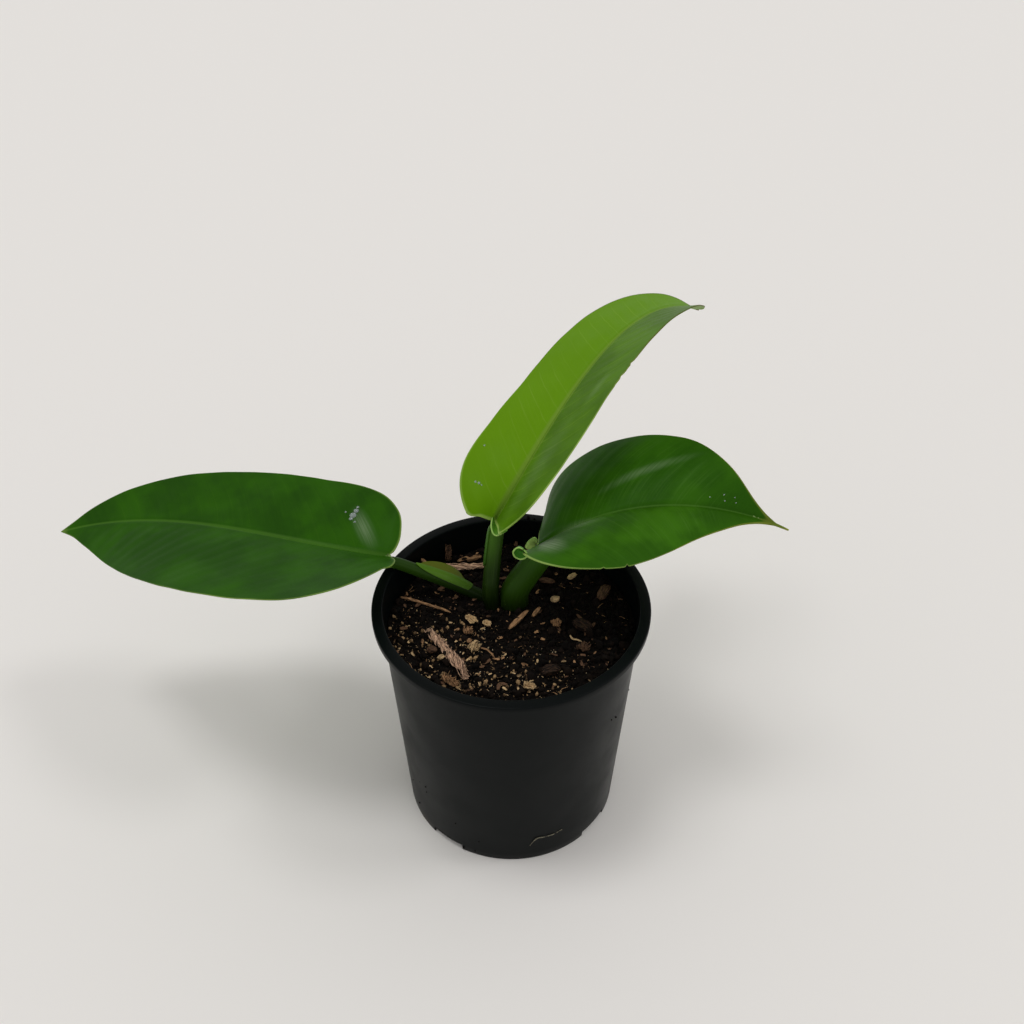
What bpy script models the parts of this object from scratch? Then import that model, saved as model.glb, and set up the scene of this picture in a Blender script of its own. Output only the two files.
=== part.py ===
"""A potted philodendron: three leaves on one short stem in a black nursery pot.

It is modelled about the centre of the pot's foot, +Z up, and is seen from -Y. At the end it is
carried to its frame, whose origin is the bottom centre of the whole plant's box.
Every size is in millimetres here and is turned into metres where the meshes are made.
"""

import math
from dataclasses import dataclass

import bmesh
import bpy
import numpy as np
from mathutils import Vector

MM = 0.001
GAP = 0.3  # clearance between pieces that touch

# Nursery pot
POT_HEIGHT = 127.2
LIP_RADIUS = 65.0
LIP_DROP = 3.5
LIP_OVERHANG = 4.3  # from the wall's outside to the lip's
FOOT_RADIUS = 52.7
WALL = 1.2
FOOT_RECESS = 4.1
FLOOR = 1.5
EDGE_ROUND = 0.6
NOTCH_COUNT = 4
NOTCH_WIDTH = 18.0
NOTCH_TURN = -37.5  # degrees from the front (-Y) to the first notch
HOLE_COUNT = 8
HOLE_RADIUS = 3.0
HOLE_RING_RADIUS = 38.0
ROUND_STEPS = 72

# Potting mix
MIX_DEPTH_BELOW_RIM = 15.2
MIX_RING_WIDTH = 6.5
BED_RADIUS = 58.4  # the radius of mix that places on it are given for
SLUMP_PLACE = (-32.7, 36.9)
SLUMP_DEPTH = 5.0
SLUMP_SPREAD = 13.0
MOUND_HEIGHT = 1.2
MOUND_SPREAD = 15.0
UNEVENNESS = 0.7

# Stem and roots
STEM_PLACE = (-3.0, 17.0)
STEM_RADIUS = 6.5
STEM_LENGTH = 34.0
STEM_SHOW = 0.8  # how far the crown stands above the mix
ROOT_RADIUS = 1.3
ROOT_REACH = 30.0
ROOT_DROP = 38.0
ROOT_COUNT = 5

# Petioles
PETIOLE_SINK = 7.0  # how deep a petiole starts in the crown
TUBE_STEPS = 14

# Leaf blades and sheaths
BLADE_THICKNESS = 0.6
RIB_DEPTH = 1.3
DRIP_TIP_WIDTH = 1.2
SHEATH_THICKNESS = 0.5
SHEATH_FLARE = 0.6


@dataclass(frozen=True)
class Leaf:
    """One blade: a midrib that bends and rolls, with two halves folded up from it.

    The base is a place across the pot and a height above its rim. Angles are in degrees, given
    at the base, the middle and the tip of the midrib.
    Halves are measured to the right and to the left of the way the leaf points.
    """

    name: str
    base: tuple
    length: float
    half_widths: tuple
    heading: tuple
    pitch: tuple
    roll: tuple
    base_folds: tuple
    folds: tuple
    tip_fold: float
    droop: float
    lobe: float
    swell: float
    taper: float
    colour: tuple


LEAVES = (
    Leaf("left", (-58.9, 24.2, 7.1), 179.0, (41.7, 55.1), (176.5, 161.3, 181.4),
         (7.8, -6.4, -17.9), (-1.0, 1.7, 23.4), (25.7, 35.0), (10.2, 9.7), 1.6, 5.3,
         0.50, -0.55, 0.78, (0.045, 0.16, 0.012)),
    Leaf("centre", (-7.9, 27.3, 25.9), 185.0, (32.7, 31.5), (42.3, 53.6, 39.1),
         (49.4, 16.4, -33.2), (6.8, 23.1, -0.6), (32.9, 86.0), (12.4, 6.4), 13.1, 2.4,
         0.0, 0.63, 0.70, (0.13, 0.29, 0.02)),
    Leaf("right", (11.6, 20.2, 15.9), 124.8, (39.8, 46.0), (9.4, -8.1, -54.8),
         (39.6, 10.7, 13.3), (2.7, -4.3, -45.0), (51.5, -13.9), (15.3, 31.0), 34.0, 36.4,
         -0.34, 0.10, 2.10, (0.05, 0.20, 0.015)),
)

# Outline of one half blade as (share of length, share of half width), base to tip
OUTLINE = ((0, 0), (-0.035, 0.10), (-0.05, 0.30), (-0.02, 0.58), (0.07, 0.83), (0.20, 0.975),
           (0.36, 1.0), (0.54, 0.91), (0.70, 0.70), (0.83, 0.42), (0.92, 0.17), (0.965, 0.05),
           (1, 0))
ACROSS = (0.0, 0.05, 0.14, 0.32, 0.55, 0.78, 1.0)
BLADE_ROWS = 22

# Where each petiole leaves the crown, the direction it starts in, and its radius there and at
# the blade
PETIOLES = {
    "left": ((-12.6, 19.0), (-0.84, 0.10, 0.40), 3.0, 2.2),
    "centre": ((-9.4, 13.2), (-0.02, 0.10, 1.0), 4.4, 3.3),
    "right": ((1.8, 14.6), (0.12, 0.05, 1.0), 6.0, 3.6),
}

BLACK_PLASTIC = ("black_polypropylene", (0.012, 0.012, 0.013), 0.42)
PEAT = ("potting_mix", (0.022, 0.014, 0.010), 0.95)
GREEN_STEM = ("petiole_green", (0.10, 0.22, 0.03), 0.45)
PALE_SHEATH = ("dry_sheath", (0.42, 0.48, 0.16), 0.55)
CROWN = ("crown_brown_green", (0.10, 0.09, 0.03), 0.70)
ROOT_WHITE = ("root_cream", (0.55, 0.45, 0.28), 0.75)
BARK = ("bark_brown", (0.16, 0.075, 0.035), 0.90)
STRAW = ("straw_tan", (0.48, 0.30, 0.15), 0.85)
CREAM = ("husk_cream", (0.62, 0.47, 0.27), 0.80)


# ---------------------------------------------------------------- basic helpers

def clear_scene():
    """Remove every object, so that the model starts from nothing."""
    for thing in list(bpy.data.objects):
        bpy.data.objects.remove(thing, do_unlink=True)


def material(finish):
    """Return the plain material of a (name, colour, roughness) finish."""
    name, colour, roughness = finish
    mat = bpy.data.materials.get(name) or bpy.data.materials.new(name)
    mat.use_nodes = True
    shader = mat.node_tree.nodes["Principled BSDF"]
    shader.inputs["Base Color"].default_value = (*colour, 1.0)
    shader.inputs["Roughness"].default_value = roughness
    shader.inputs["Metallic"].default_value = 0.0
    return mat


class Workshop:
    """The two collections, for the parts and for the cutters, on one frame that carries both."""

    def __init__(self, name):
        self.frame = bpy.data.objects.new(name + "_frame", None)
        bpy.context.scene.collection.objects.link(self.frame)
        self.parts = bpy.data.collections.new(name)
        self.cutters = bpy.data.collections.new(name + "_cutters")
        bpy.context.scene.collection.children.link(self.parts)
        bpy.context.scene.collection.children.link(self.cutters)

    def part(self, name, data, finish):
        """Add a finished piece with its material."""
        thing = bpy.data.objects.new(name, data)
        data.materials.append(material(finish))
        thing.parent = self.frame
        self.parts.objects.link(thing)
        return thing

    def cutter(self, name, data):
        """Add a piece that only cuts others."""
        thing = bpy.data.objects.new(name, data)
        thing.hide_render = True
        thing.display_type = "WIRE"
        thing.parent = self.frame
        self.cutters.objects.link(thing)
        return thing

    def carry_to_bottom_centre(self):
        """Move everything so that the origin is the bottom centre of the parts' box."""
        bpy.context.view_layer.update()
        graph = bpy.context.evaluated_depsgraph_get()
        corners = []
        for thing in self.parts.objects:
            ready = thing.evaluated_get(graph)
            corners += [ready.matrix_world @ Vector(corner) for corner in ready.bound_box]
        low = [min(corner[k] for corner in corners) for k in range(3)]
        high = [max(corner[k] for corner in corners) for k in range(3)]
        self.frame.location = (-(low[0] + high[0]) / 2, -(low[1] + high[1]) / 2, -low[2])


def cut(thing, cutter, solver="EXACT"):
    """Take the cutter's volume out of a piece."""
    modifier = thing.modifiers.new("cut_" + cutter.name, "BOOLEAN")
    modifier.operation = "DIFFERENCE"
    modifier.solver = solver
    modifier.object = cutter


def mesh_from(build, name):
    """Run a bmesh building function and keep what it makes as a mesh."""
    bm = bmesh.new()
    build(bm)
    mesh = bpy.data.meshes.new(name)
    bm.to_mesh(mesh)
    bm.free()
    return mesh


def baked(thing, name, weld=0.00001):
    """Turn an object with its modifiers, or a curve, into one welded mesh and drop the object."""
    graph = bpy.context.evaluated_depsgraph_get()
    mesh = bpy.data.meshes.new_from_object(thing.evaluated_get(graph), depsgraph=graph)
    mesh.name = name
    bpy.data.objects.remove(thing, do_unlink=True)
    bm = bmesh.new()
    bm.from_mesh(mesh)
    bmesh.ops.remove_doubles(bm, verts=bm.verts, dist=weld)
    bmesh.ops.recalc_face_normals(bm, faces=bm.faces)
    bm.to_mesh(mesh)
    bm.free()
    return mesh


def temporary(data):
    """Link data to the scene for a moment, to evaluate it."""
    thing = bpy.data.objects.new("temporary", data)
    bpy.context.scene.collection.objects.link(thing)
    return thing


def turned_mesh(profile, name, steps=ROUND_STEPS):
    """Turn a profile of (radius, height) points about Z with a Screw modifier."""
    def build(bm):
        verts = [bm.verts.new((r * MM, 0, z * MM)) for r, z in profile]
        for a, b in zip(verts, verts[1:]):
            bm.edges.new((a, b))

    thing = temporary(mesh_from(build, name))
    screw = thing.modifiers.new("turn", "SCREW")
    screw.steps = steps
    screw.render_steps = steps
    screw.use_merge_vertices = True
    screw.merge_threshold = 0.00001
    return baked(thing, name)


def tube_mesh(points, radii, name, resolution=3):
    """A round tube along points, with a radius at each, and filled ends."""
    curve = bpy.data.curves.new(name, "CURVE")
    curve.dimensions = "3D"
    curve.bevel_depth = MM
    curve.bevel_resolution = resolution
    curve.use_fill_caps = True
    spline = curve.splines.new("POLY")
    spline.points.add(len(points) - 1)
    for slot, point, radius in zip(spline.points, points, radii):
        slot.co = (*(np.asarray(point) * MM), 1)
        slot.radius = radius
    return baked(temporary(curve), name)


def through(points, count):
    """Even samples of the smooth curve through a few points (Catmull-Rom)."""
    pts = np.asarray(points, float)
    ends = np.vstack([2 * pts[0] - pts[1], pts, 2 * pts[-1] - pts[-2]])
    t = np.linspace(0, len(pts) - 1, count)
    i = np.minimum(t.astype(int), len(pts) - 2)
    u = (t - i)[:, None]
    a, b, c, d = ends[i], ends[i + 1], ends[i + 2], ends[i + 3]
    return 0.5 * (2 * b + (c - a) * u + (2 * a - 5 * b + 4 * c - d) * u ** 2
                  + (3 * b - a - 3 * c + d) * u ** 3)


def sheet(shop, name, rows, columns, place, thickness, finish, thick=None):
    """A thin curved sheet: a grid whose points are placed by a function, then thickened.

    Args:
        rows: shares from 0 to 1 along the sheet.
        columns: shares across it.
        place: function of (along, across) that returns a point in millimetres.
        thick: function of (along, across) that returns the share of the thickness there.
    """
    shares = []

    def build(bm):
        grid = bmesh.ops.create_grid(bm, x_segments=len(rows) - 1, y_segments=len(columns) - 1,
                                     size=0.5)
        for vert in grid["verts"]:
            u = rows[round((vert.co.x + 0.5) * (len(rows) - 1))]
            v = columns[round((vert.co.y + 0.5) * (len(columns) - 1))]
            vert.co = Vector(place(u, v)) * MM
            shares.append((vert.co.copy(), thick(u, v) if thick else 1.0))
        bmesh.ops.remove_doubles(bm, verts=bm.verts, dist=0.000001)

    piece = shop.part(name, mesh_from(build, name), finish)
    group = piece.vertex_groups.new(name="thickness")
    spots = np.array([spot for spot, share in shares])
    for vert in piece.data.vertices:
        nearest = int(np.argmin(((spots - np.array(vert.co)) ** 2).sum(1)))
        group.add([vert.index], shares[nearest][1], "REPLACE")
    solid = piece.modifiers.new("thickness", "SOLIDIFY")
    solid.thickness = thickness * MM
    solid.offset = -1
    solid.vertex_group = "thickness"
    return piece


# ---------------------------------------------------------------- the pot

def lip_bottom():
    return POT_HEIGHT - LIP_DROP


def outer_radius(z):
    """Radius of the pot's outside at a height."""
    top_radius = LIP_RADIUS - LIP_OVERHANG
    return FOOT_RADIUS + (top_radius - FOOT_RADIUS) * z / lip_bottom()


def inner_radius(z):
    """Radius of the pot's inside at a height."""
    return outer_radius(z) - WALL


def floor_top():
    return FOOT_RECESS + FLOOR


def around(radius, degrees, z=0.0):
    """A point at an angle from the front (-Y), turning towards +X."""
    a = math.radians(degrees)
    return (radius * math.sin(a), -radius * math.cos(a), z)


def make_pot(shop):
    """The pot: a tapered wall, a turned-down lip, a recessed floor and four foot notches."""
    top, bottom, e = POT_HEIGHT, lip_bottom(), EDGE_ROUND
    under = top - WALL
    edge = inner_radius(top)
    profile = [
        (0, floor_top()),
        (inner_radius(floor_top()) - 2, floor_top()),
        (inner_radius(floor_top() + 2), floor_top() + 2),
        (inner_radius(under), under - e),
        (edge, top - e),
        (edge + e, top),
        (LIP_RADIUS - e, top),
        (LIP_RADIUS, top - e),
        (LIP_RADIUS, bottom),
        (LIP_RADIUS - WALL, bottom),
        (LIP_RADIUS - WALL, under),
        (outer_radius(under), under),
        (outer_radius(bottom), bottom),
        (outer_radius(bottom / 2), bottom / 2),
        (FOOT_RADIUS, 0),
        (FOOT_RADIUS - WALL, 0),
        (FOOT_RADIUS - WALL, FOOT_RECESS),
        (0, FOOT_RECESS),
    ]
    pot = shop.part("nursery_pot", turned_mesh(profile, "nursery_pot"), BLACK_PLASTIC)

    def notches(bm):
        depth = 4 * WALL
        height = FOOT_RECESS - GAP
        for i in range(NOTCH_COUNT):
            made = bmesh.ops.create_cube(bm, size=1)
            turn = NOTCH_TURN + 360 / NOTCH_COUNT * i
            bmesh.ops.scale(bm, vec=(NOTCH_WIDTH * MM, depth * MM, 2 * height * MM),
                            verts=made["verts"])
            bmesh.ops.translate(bm, vec=(0, -(FOOT_RADIUS - WALL / 2) * MM, 0),
                                verts=made["verts"])
            spin(bm, made["verts"], turn)

    def holes(bm):
        for i in range(HOLE_COUNT):
            made = bmesh.ops.create_cone(bm, cap_ends=True, segments=16, radius1=HOLE_RADIUS * MM,
                                         radius2=HOLE_RADIUS * MM, depth=4 * FLOOR * MM)
            middle = around(HOLE_RING_RADIUS, 360 / HOLE_COUNT * (i + 0.3), FOOT_RECESS + FLOOR / 2)
            bmesh.ops.translate(bm, vec=Vector(middle) * MM, verts=made["verts"])

    cut(pot, shop.cutter("foot_notches", mesh_from(notches, "foot_notches")))
    cut(pot, shop.cutter("drain_holes", mesh_from(holes, "drain_holes")))
    return pot


def spin(bm, verts, degrees):
    """Turn vertices about Z, from the front towards +X."""
    a = math.radians(degrees)
    for vert in verts:
        x, y, z = vert.co
        vert.co = (x * math.cos(a) - y * math.sin(a), x * math.sin(a) + y * math.cos(a), z)


# ---------------------------------------------------------------- the potting mix

def mix_level():
    return POT_HEIGHT - MIX_DEPTH_BELOW_RIM


def bump(x, y, middle, spread):
    """A smooth hill of height 1."""
    return math.exp(-((x - middle[0]) ** 2 + (y - middle[1]) ** 2) / (2 * spread ** 2))


def on_bed(x, y):
    """A place on the mix, spread with the mix's radius."""
    spread = (inner_radius(mix_level()) - GAP) / BED_RADIUS
    return x * spread, y * spread


def mix_height(x, y):
    """Height of the mix: mounded at the crown, slumped at the back left, gently uneven."""
    return (mix_level()
            + MOUND_HEIGHT * bump(x, y, STEM_PLACE, MOUND_SPREAD)
            - SLUMP_DEPTH * bump(x, y, on_bed(*SLUMP_PLACE), SLUMP_SPREAD)
            + UNEVENNESS * math.sin(x / 9 + 0.6) * math.sin(y / 8 + 1.1))


def make_mix(shop, buried):
    """The block of mix in the pot, with its surface shaped and the buried pieces' room cut out."""
    level = mix_level()
    low = floor_top() + GAP
    rim = inner_radius(level) - GAP
    rings = round(rim / MIX_RING_WIDTH)
    profile = [(0, level)]
    profile += [(rim * i / rings, level) for i in range(1, rings + 1)]
    profile += [
        (inner_radius(level / 2) - GAP, level / 2),
        (inner_radius(low + 2) - GAP, low + 2),
        (inner_radius(low) - 2 - GAP, low),
        (0, low),
    ]
    mesh = turned_mesh(profile, "potting_mix")
    for vert in mesh.vertices:
        if vert.co.z < (level - 0.01) * MM:
            continue
        x, y = vert.co.x / MM, vert.co.y / MM
        height = mix_height(x, y)
        share = (inner_radius(height) - GAP) / rim
        vert.co = Vector((x * share, y * share, height)) * MM
    mix = shop.part("potting_mix", mesh, PEAT)
    for cutter in buried:
        cut(mix, cutter, solver="MANIFOLD")
    return mix


# ---------------------------------------------------------------- the leaves

def blend3(values, s):
    """Smooth value through three values given at s = 0, 0.5 and 1."""
    a, b, c = values
    return a * 2 * (s - 0.5) * (s - 1) - b * 4 * s * (s - 1) + c * 2 * s * (s - 0.5)


class LeafShape:
    """The surface of a blade, as points worked out from its Leaf values."""

    STATIONS = 80

    def __init__(self, leaf):
        self.leaf = leaf
        s = np.linspace(0, 1, self.STATIONS)
        h = np.radians(blend3(leaf.heading, s))
        e = np.radians(blend3(leaf.pitch, s))
        r = np.radians(blend3(leaf.roll, s))
        ahead = np.stack([np.cos(e) * np.cos(h), np.cos(e) * np.sin(h), np.sin(e)], 1)
        flat = np.stack([np.sin(h), -np.cos(h), 0 * h], 1)
        up = np.cross(flat, ahead)
        step = leaf.length / (self.STATIONS - 1)
        run = np.cumsum((ahead[1:] + ahead[:-1]) / 2 * step, 0)
        self.along = s * leaf.length
        self.ahead = ahead
        self.rib = np.vstack([np.zeros(3), run]) + np.array(leaf.base) + (0, 0, POT_HEIGHT)
        self.side = flat * np.cos(r)[:, None] + up * np.sin(r)[:, None]
        self.normal = up * np.cos(r)[:, None] - flat * np.sin(r)[:, None]
        self.outline = self.make_outline()

    def make_outline(self):
        """The half outline with this leaf's lobes, widest place and taper."""
        leaf = self.leaf
        pts = np.array(OUTLINE, float)
        x, y = pts[:, 0], pts[:, 1]
        x = np.where(x < 0, x * leaf.lobe, x + 0.15 * leaf.swell * np.sin(np.pi * np.clip(x, 0, 1)))
        y = np.where(pts[:, 0] > 0.3, y ** leaf.taper, y)
        line = through(np.stack([x, y], 1), self.STATIONS)
        line[:, 1] = np.clip(line[:, 1], 0, None)
        line[0] = (0, 0)
        line[-1] = (1, 0)
        return line

    def frame(self, x):
        """Rib point, direction, side and normal at a distance along the midrib."""
        inside = min(max(x, 0.0), self.leaf.length)
        pick = [np.array([np.interp(inside, self.along, table[:, k]) for k in range(3)])
                for table in (self.rib, self.ahead, self.side, self.normal)]
        pick[0] = pick[0] + pick[1] * (x - inside)
        return pick

    def point(self, u, v):
        """Surface point at a share u along the outline and v across, -1 left to 1 right."""
        leaf = self.leaf
        right = v >= 0
        edge = [np.interp(u, np.linspace(0, 1, self.STATIONS), self.outline[:, k])
                for k in range(2)]
        start = leaf.length * u ** 1.25
        x = start + (edge[0] * leaf.length - start) * abs(v)
        wide = edge[1] * leaf.half_widths[0 if right else 1]
        if 0 < u < 1:
            wide = max(wide, DRIP_TIP_WIDTH / 2)
        y = abs(v) * wide
        rib, _, side, normal = self.frame(x)
        s = min(max(x / leaf.length, 0.0), 1.0)
        middle = leaf.folds[0 if right else 1]
        base = leaf.base_folds[0 if right else 1]
        fold = math.radians(middle + (base - middle) * math.exp(-s / 0.12)
                            + (leaf.tip_fold - middle) * s ** 3)
        bend = math.radians(leaf.droop) / (sum(leaf.half_widths) / 2)
        turn = fold - bend * y
        if abs(bend) > 1e-6:
            across = (math.sin(fold) - math.sin(turn)) / bend
            rise = (math.cos(turn) - math.cos(fold)) / bend
        else:
            across = y * math.cos(fold)
            rise = y * math.sin(fold)
        return rib + side * (across if right else -across) + normal * rise


def leaf_finish(leaf):
    return ("blade_green_" + leaf.name, leaf.colour, 0.35)


def make_blade(shop, shape):
    """The blade as a thin solid that is deeper along its midrib."""
    rows = [i / BLADE_ROWS for i in range(BLADE_ROWS + 1)]
    columns = [-v for v in ACROSS[:0:-1]] + list(ACROSS)
    least = BLADE_THICKNESS / RIB_DEPTH

    def thick(u, v):
        return least + (1 - least) * max(0.0, 1 - abs(v) / 0.12) * (1 - u) ** 0.7

    return sheet(shop, "blade_" + shape.leaf.name, rows, columns, shape.point, RIB_DEPTH,
                 leaf_finish(shape.leaf), thick)


def petiole_path(shape):
    """The petiole's centre line, from inside the crown to under the base of its blade."""
    foot, direction, _, tip_radius = PETIOLES[shape.leaf.name]
    direction = np.array(direction) / np.linalg.norm(direction)
    foot = np.array([*foot, mix_level()])
    rib, ahead, _, normal = shape.frame(0.0)
    seat = rib - normal * (RIB_DEPTH + GAP + tip_radius * 1.1)
    reach = np.linalg.norm(seat - foot) / 3
    return through([foot - direction * PETIOLE_SINK, foot, foot + direction * reach,
                    seat - ahead * reach * 0.4, seat, seat + ahead * 2.0], TUBE_STEPS)


def petiole_radii(shape):
    """Radius along the petiole, thinning towards the blade."""
    return np.linspace(*PETIOLES[shape.leaf.name][2:], TUBE_STEPS)


def make_petiole(shop, shape, neighbours):
    """A petiole cut to sit on the crown and beside its neighbours; returns its own room cutter."""
    name = "petiole_" + shape.leaf.name
    path = petiole_path(shape)
    radii = petiole_radii(shape)
    petiole = shop.part(name, tube_mesh(path, radii, name), GREEN_STEM)
    for neighbour in neighbours:
        cut(petiole, neighbour)
    return shop.cutter(name + "_room", tube_mesh(path, radii + GAP, name + "_room"))


# ---------------------------------------------------------------- stem and roots

def stem_mesh(grow, name):
    """The short stem: a ringed, rounded stub, larger all round by grow."""
    top = mix_height(*STEM_PLACE) + STEM_SHOW
    r = STEM_RADIUS
    profile = [(0, top + grow), (r * 0.6 + grow, top + grow), (r * 0.95 + grow, top - 2 + grow)]
    for i in range(1, 4):
        z = top - 2 - (STEM_LENGTH - 8) * i / 3
        profile.append((r + grow, z + 1.5))
        profile.append((r * 0.9 + grow, z))
    profile += [(r * 0.55 + grow, top - STEM_LENGTH - grow), (0, top - STEM_LENGTH - grow)]
    mesh = turned_mesh(profile, name, steps=20)
    for vert in mesh.vertices:
        vert.co.x += STEM_PLACE[0] * MM
        vert.co.y += STEM_PLACE[1] * MM
    return mesh


def root_path(index):
    """One root, from inside the stem outwards and down to near the pot's floor."""
    a = 2 * math.pi * (index + 0.2) / ROOT_COUNT
    top = mix_level() - STEM_LENGTH * 0.72
    out = np.array([math.cos(a), math.sin(a), 0.0])
    across = np.array([-math.sin(a), math.cos(a), 0.0])
    start = np.array([*STEM_PLACE, top])
    drop = np.array([0, 0, -1.0])
    return through([start + out * STEM_RADIUS * 0.4,
                    start + out * (STEM_RADIUS + 4) + drop * 4,
                    start + out * ROOT_REACH * 0.62 + across * 4 + drop * ROOT_DROP * 0.45,
                    start + out * ROOT_REACH * 0.80 - across * 3 + drop * ROOT_DROP], 12)


def make_root(shop, index, crown_cutter):
    name = "root_{}".format(index + 1)
    path = root_path(index)
    radii = np.linspace(ROOT_RADIUS, ROOT_RADIUS * 0.5, len(path))
    root = shop.part(name, tube_mesh(path, radii, name, resolution=2), ROOT_WHITE)
    cut(root, crown_cutter)
    return shop.cutter(name + "_room", tube_mesh(path, radii + GAP, name + "_room", resolution=2))


# ---------------------------------------------------------------- sheaths

def path_frames(path):
    """Directions along a path, with two directions square to it at each point."""
    ahead = np.gradient(path, axis=0)
    ahead /= np.linalg.norm(ahead, axis=1)[:, None]
    side = np.cross(ahead, (0.0, 1.0, 0.0))
    side /= np.linalg.norm(side, axis=1)[:, None]
    return ahead, side, np.cross(side, ahead)


def make_sheath(shop, name, shape, rise, end, wrap, facing, finish):
    """A thin sheath around a stretch of a petiole, narrowing to a pointed tip.

    Args:
        rise: how far above the mix the petiole's centre is where the sheath starts.
        end: share of the path where the sheath ends.
        wrap: how far round it goes at its foot, in degrees.
        facing: the direction of its middle, in degrees about the petiole.
    """
    path = petiole_path(shape)
    ahead, side, front = path_frames(path)
    spots = np.linspace(0, 1, len(path))
    radii = petiole_radii(shape)
    above = [z - mix_height(x, y) for x, y, z in path]
    start = np.interp(rise, above, spots)

    def place(u, v):
        s = start + (end - start) * u
        centre, a, b = [np.array([np.interp(s, spots, table[:, k]) for k in range(3)])
                        for table in (path, side, front)]
        half = math.radians(wrap) / 2 * math.sqrt(max(0.0, 1 - u ** 2))
        turn = math.radians(facing) + half * v
        r = np.interp(s, spots, radii) + GAP + SHEATH_THICKNESS + SHEATH_FLARE * u
        return centre + (a * math.cos(turn) + b * math.sin(turn)) * r

    rows = [i / 8 for i in range(9)]
    columns = [i / 5 - 1 for i in range(11)]
    return sheet(shop, name, rows, columns, place, SHEATH_THICKNESS, finish)


# ---------------------------------------------------------------- pieces lying on the mix

REST = 0.55  # how far a loose piece's underside is kept above the smooth surface


def lie_flat(x, y, half_height):
    """A point where a piece this thick lies on the mix."""
    x, y = on_bed(x, y)
    return np.array([x, y, mix_height(x, y) + half_height + REST])


def make_twig(shop, name, ends, radius, finish, sway=0.0):
    """A thin stick or fibre that follows the surface between two ends."""
    a, b = np.array(ends[0], float), np.array(ends[1], float)
    across = np.array([-(b - a)[1], (b - a)[0]])
    across /= np.linalg.norm(across)
    points = []
    for i in range(8):
        t = i / 7
        x, y = a + (b - a) * t + across * sway * math.sin(math.pi * t)
        points.append(lie_flat(x, y, radius))
    radii = [radius * (0.65 if i in (0, 7) else 1.0) for i in range(8)]
    shop.part(name, tube_mesh(points, radii, name, resolution=1), finish)


def make_strip(shop, name, line, width, thickness, finish):
    """A flat strip of bark that follows the surface along a line."""
    path = np.array([lie_flat(x, y, thickness) for x, y in through(line, 12)])
    ahead = np.gradient(path, axis=0)
    across = np.stack([-ahead[:, 1], ahead[:, 0], 0 * ahead[:, 0]], 1)
    across /= np.linalg.norm(across, axis=1)[:, None]
    spots = np.linspace(0, 1, len(path))

    def place(u, v):
        centre, side = [np.array([np.interp(u, spots, table[:, k]) for k in range(3)])
                        for table in (path, across)]
        frayed = width / 2 * (1 - 0.35 * (2 * u - 1) ** 2)
        return centre + side * v * frayed + np.array([0, 0, 0.3 * math.sin(9 * u)])

    sheet(shop, name, [i / 11 for i in range(12)], [-1, -0.3, 0.3, 1], place, thickness, finish)


def make_chip(shop, name, place, size, heading, finish, tilt=0.0):
    """A small split chip: a bevelled block, longest along its heading."""
    length, width, thick = size
    lift = thick / 2 + abs(math.sin(math.radians(tilt))) * length / 2

    def build(bm):
        bmesh.ops.create_cube(bm, size=1)
        bmesh.ops.scale(bm, vec=(length * MM, width * MM, thick * MM), verts=bm.verts)
        for vert in bm.verts:
            if vert.co.x > 0:
                vert.co.y *= 0.6
        bmesh.ops.bevel(bm, geom=bm.edges, offset=0.15 * thick * MM, segments=1,
                        affect="EDGES")

    chip = shop.part(name, mesh_from(build, name), finish)
    chip.rotation_euler = (0, -math.radians(tilt), math.radians(heading))
    chip.location = lie_flat(*place, lift) * MM


def make_grain(shop, name, place, size, seed, finish):
    """A rounded, lumpy grain."""
    rng = np.random.default_rng(seed)

    def build(bm):
        made = bmesh.ops.create_icosphere(bm, subdivisions=1, radius=0.5 * MM)
        for vert in made["verts"]:
            vert.co *= 1 + 0.18 * (rng.random() - 0.5)
        bmesh.ops.scale(bm, vec=size, verts=bm.verts)

    grain = shop.part(name, mesh_from(build, name), finish)
    grain.rotation_euler = (0, 0, rng.random() * math.tau)
    grain.location = lie_flat(*place, size[2] * 0.55) * MM


def make_husk(shop, name, place, size, heading, finish):
    """A small cupped seed husk, open side up."""
    def spot(u, v):
        x = size[0] / 2 * (2 * u - 1)
        y = size[1] / 2 * v * math.sqrt(max(0.0, 1 - (2 * u - 1) ** 2))
        z = size[2] * ((2 * u - 1) ** 2 + v * v * (1 - (2 * u - 1) ** 2))
        a = math.radians(heading)
        low = lie_flat(*place, 0.4)
        return low + np.array([x * math.cos(a) - y * math.sin(a),
                               x * math.sin(a) + y * math.cos(a), z])

    sheet(shop, name, [i / 6 for i in range(7)], [-1, -0.5, 0, 0.5, 1], spot, 0.35, finish)


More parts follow.
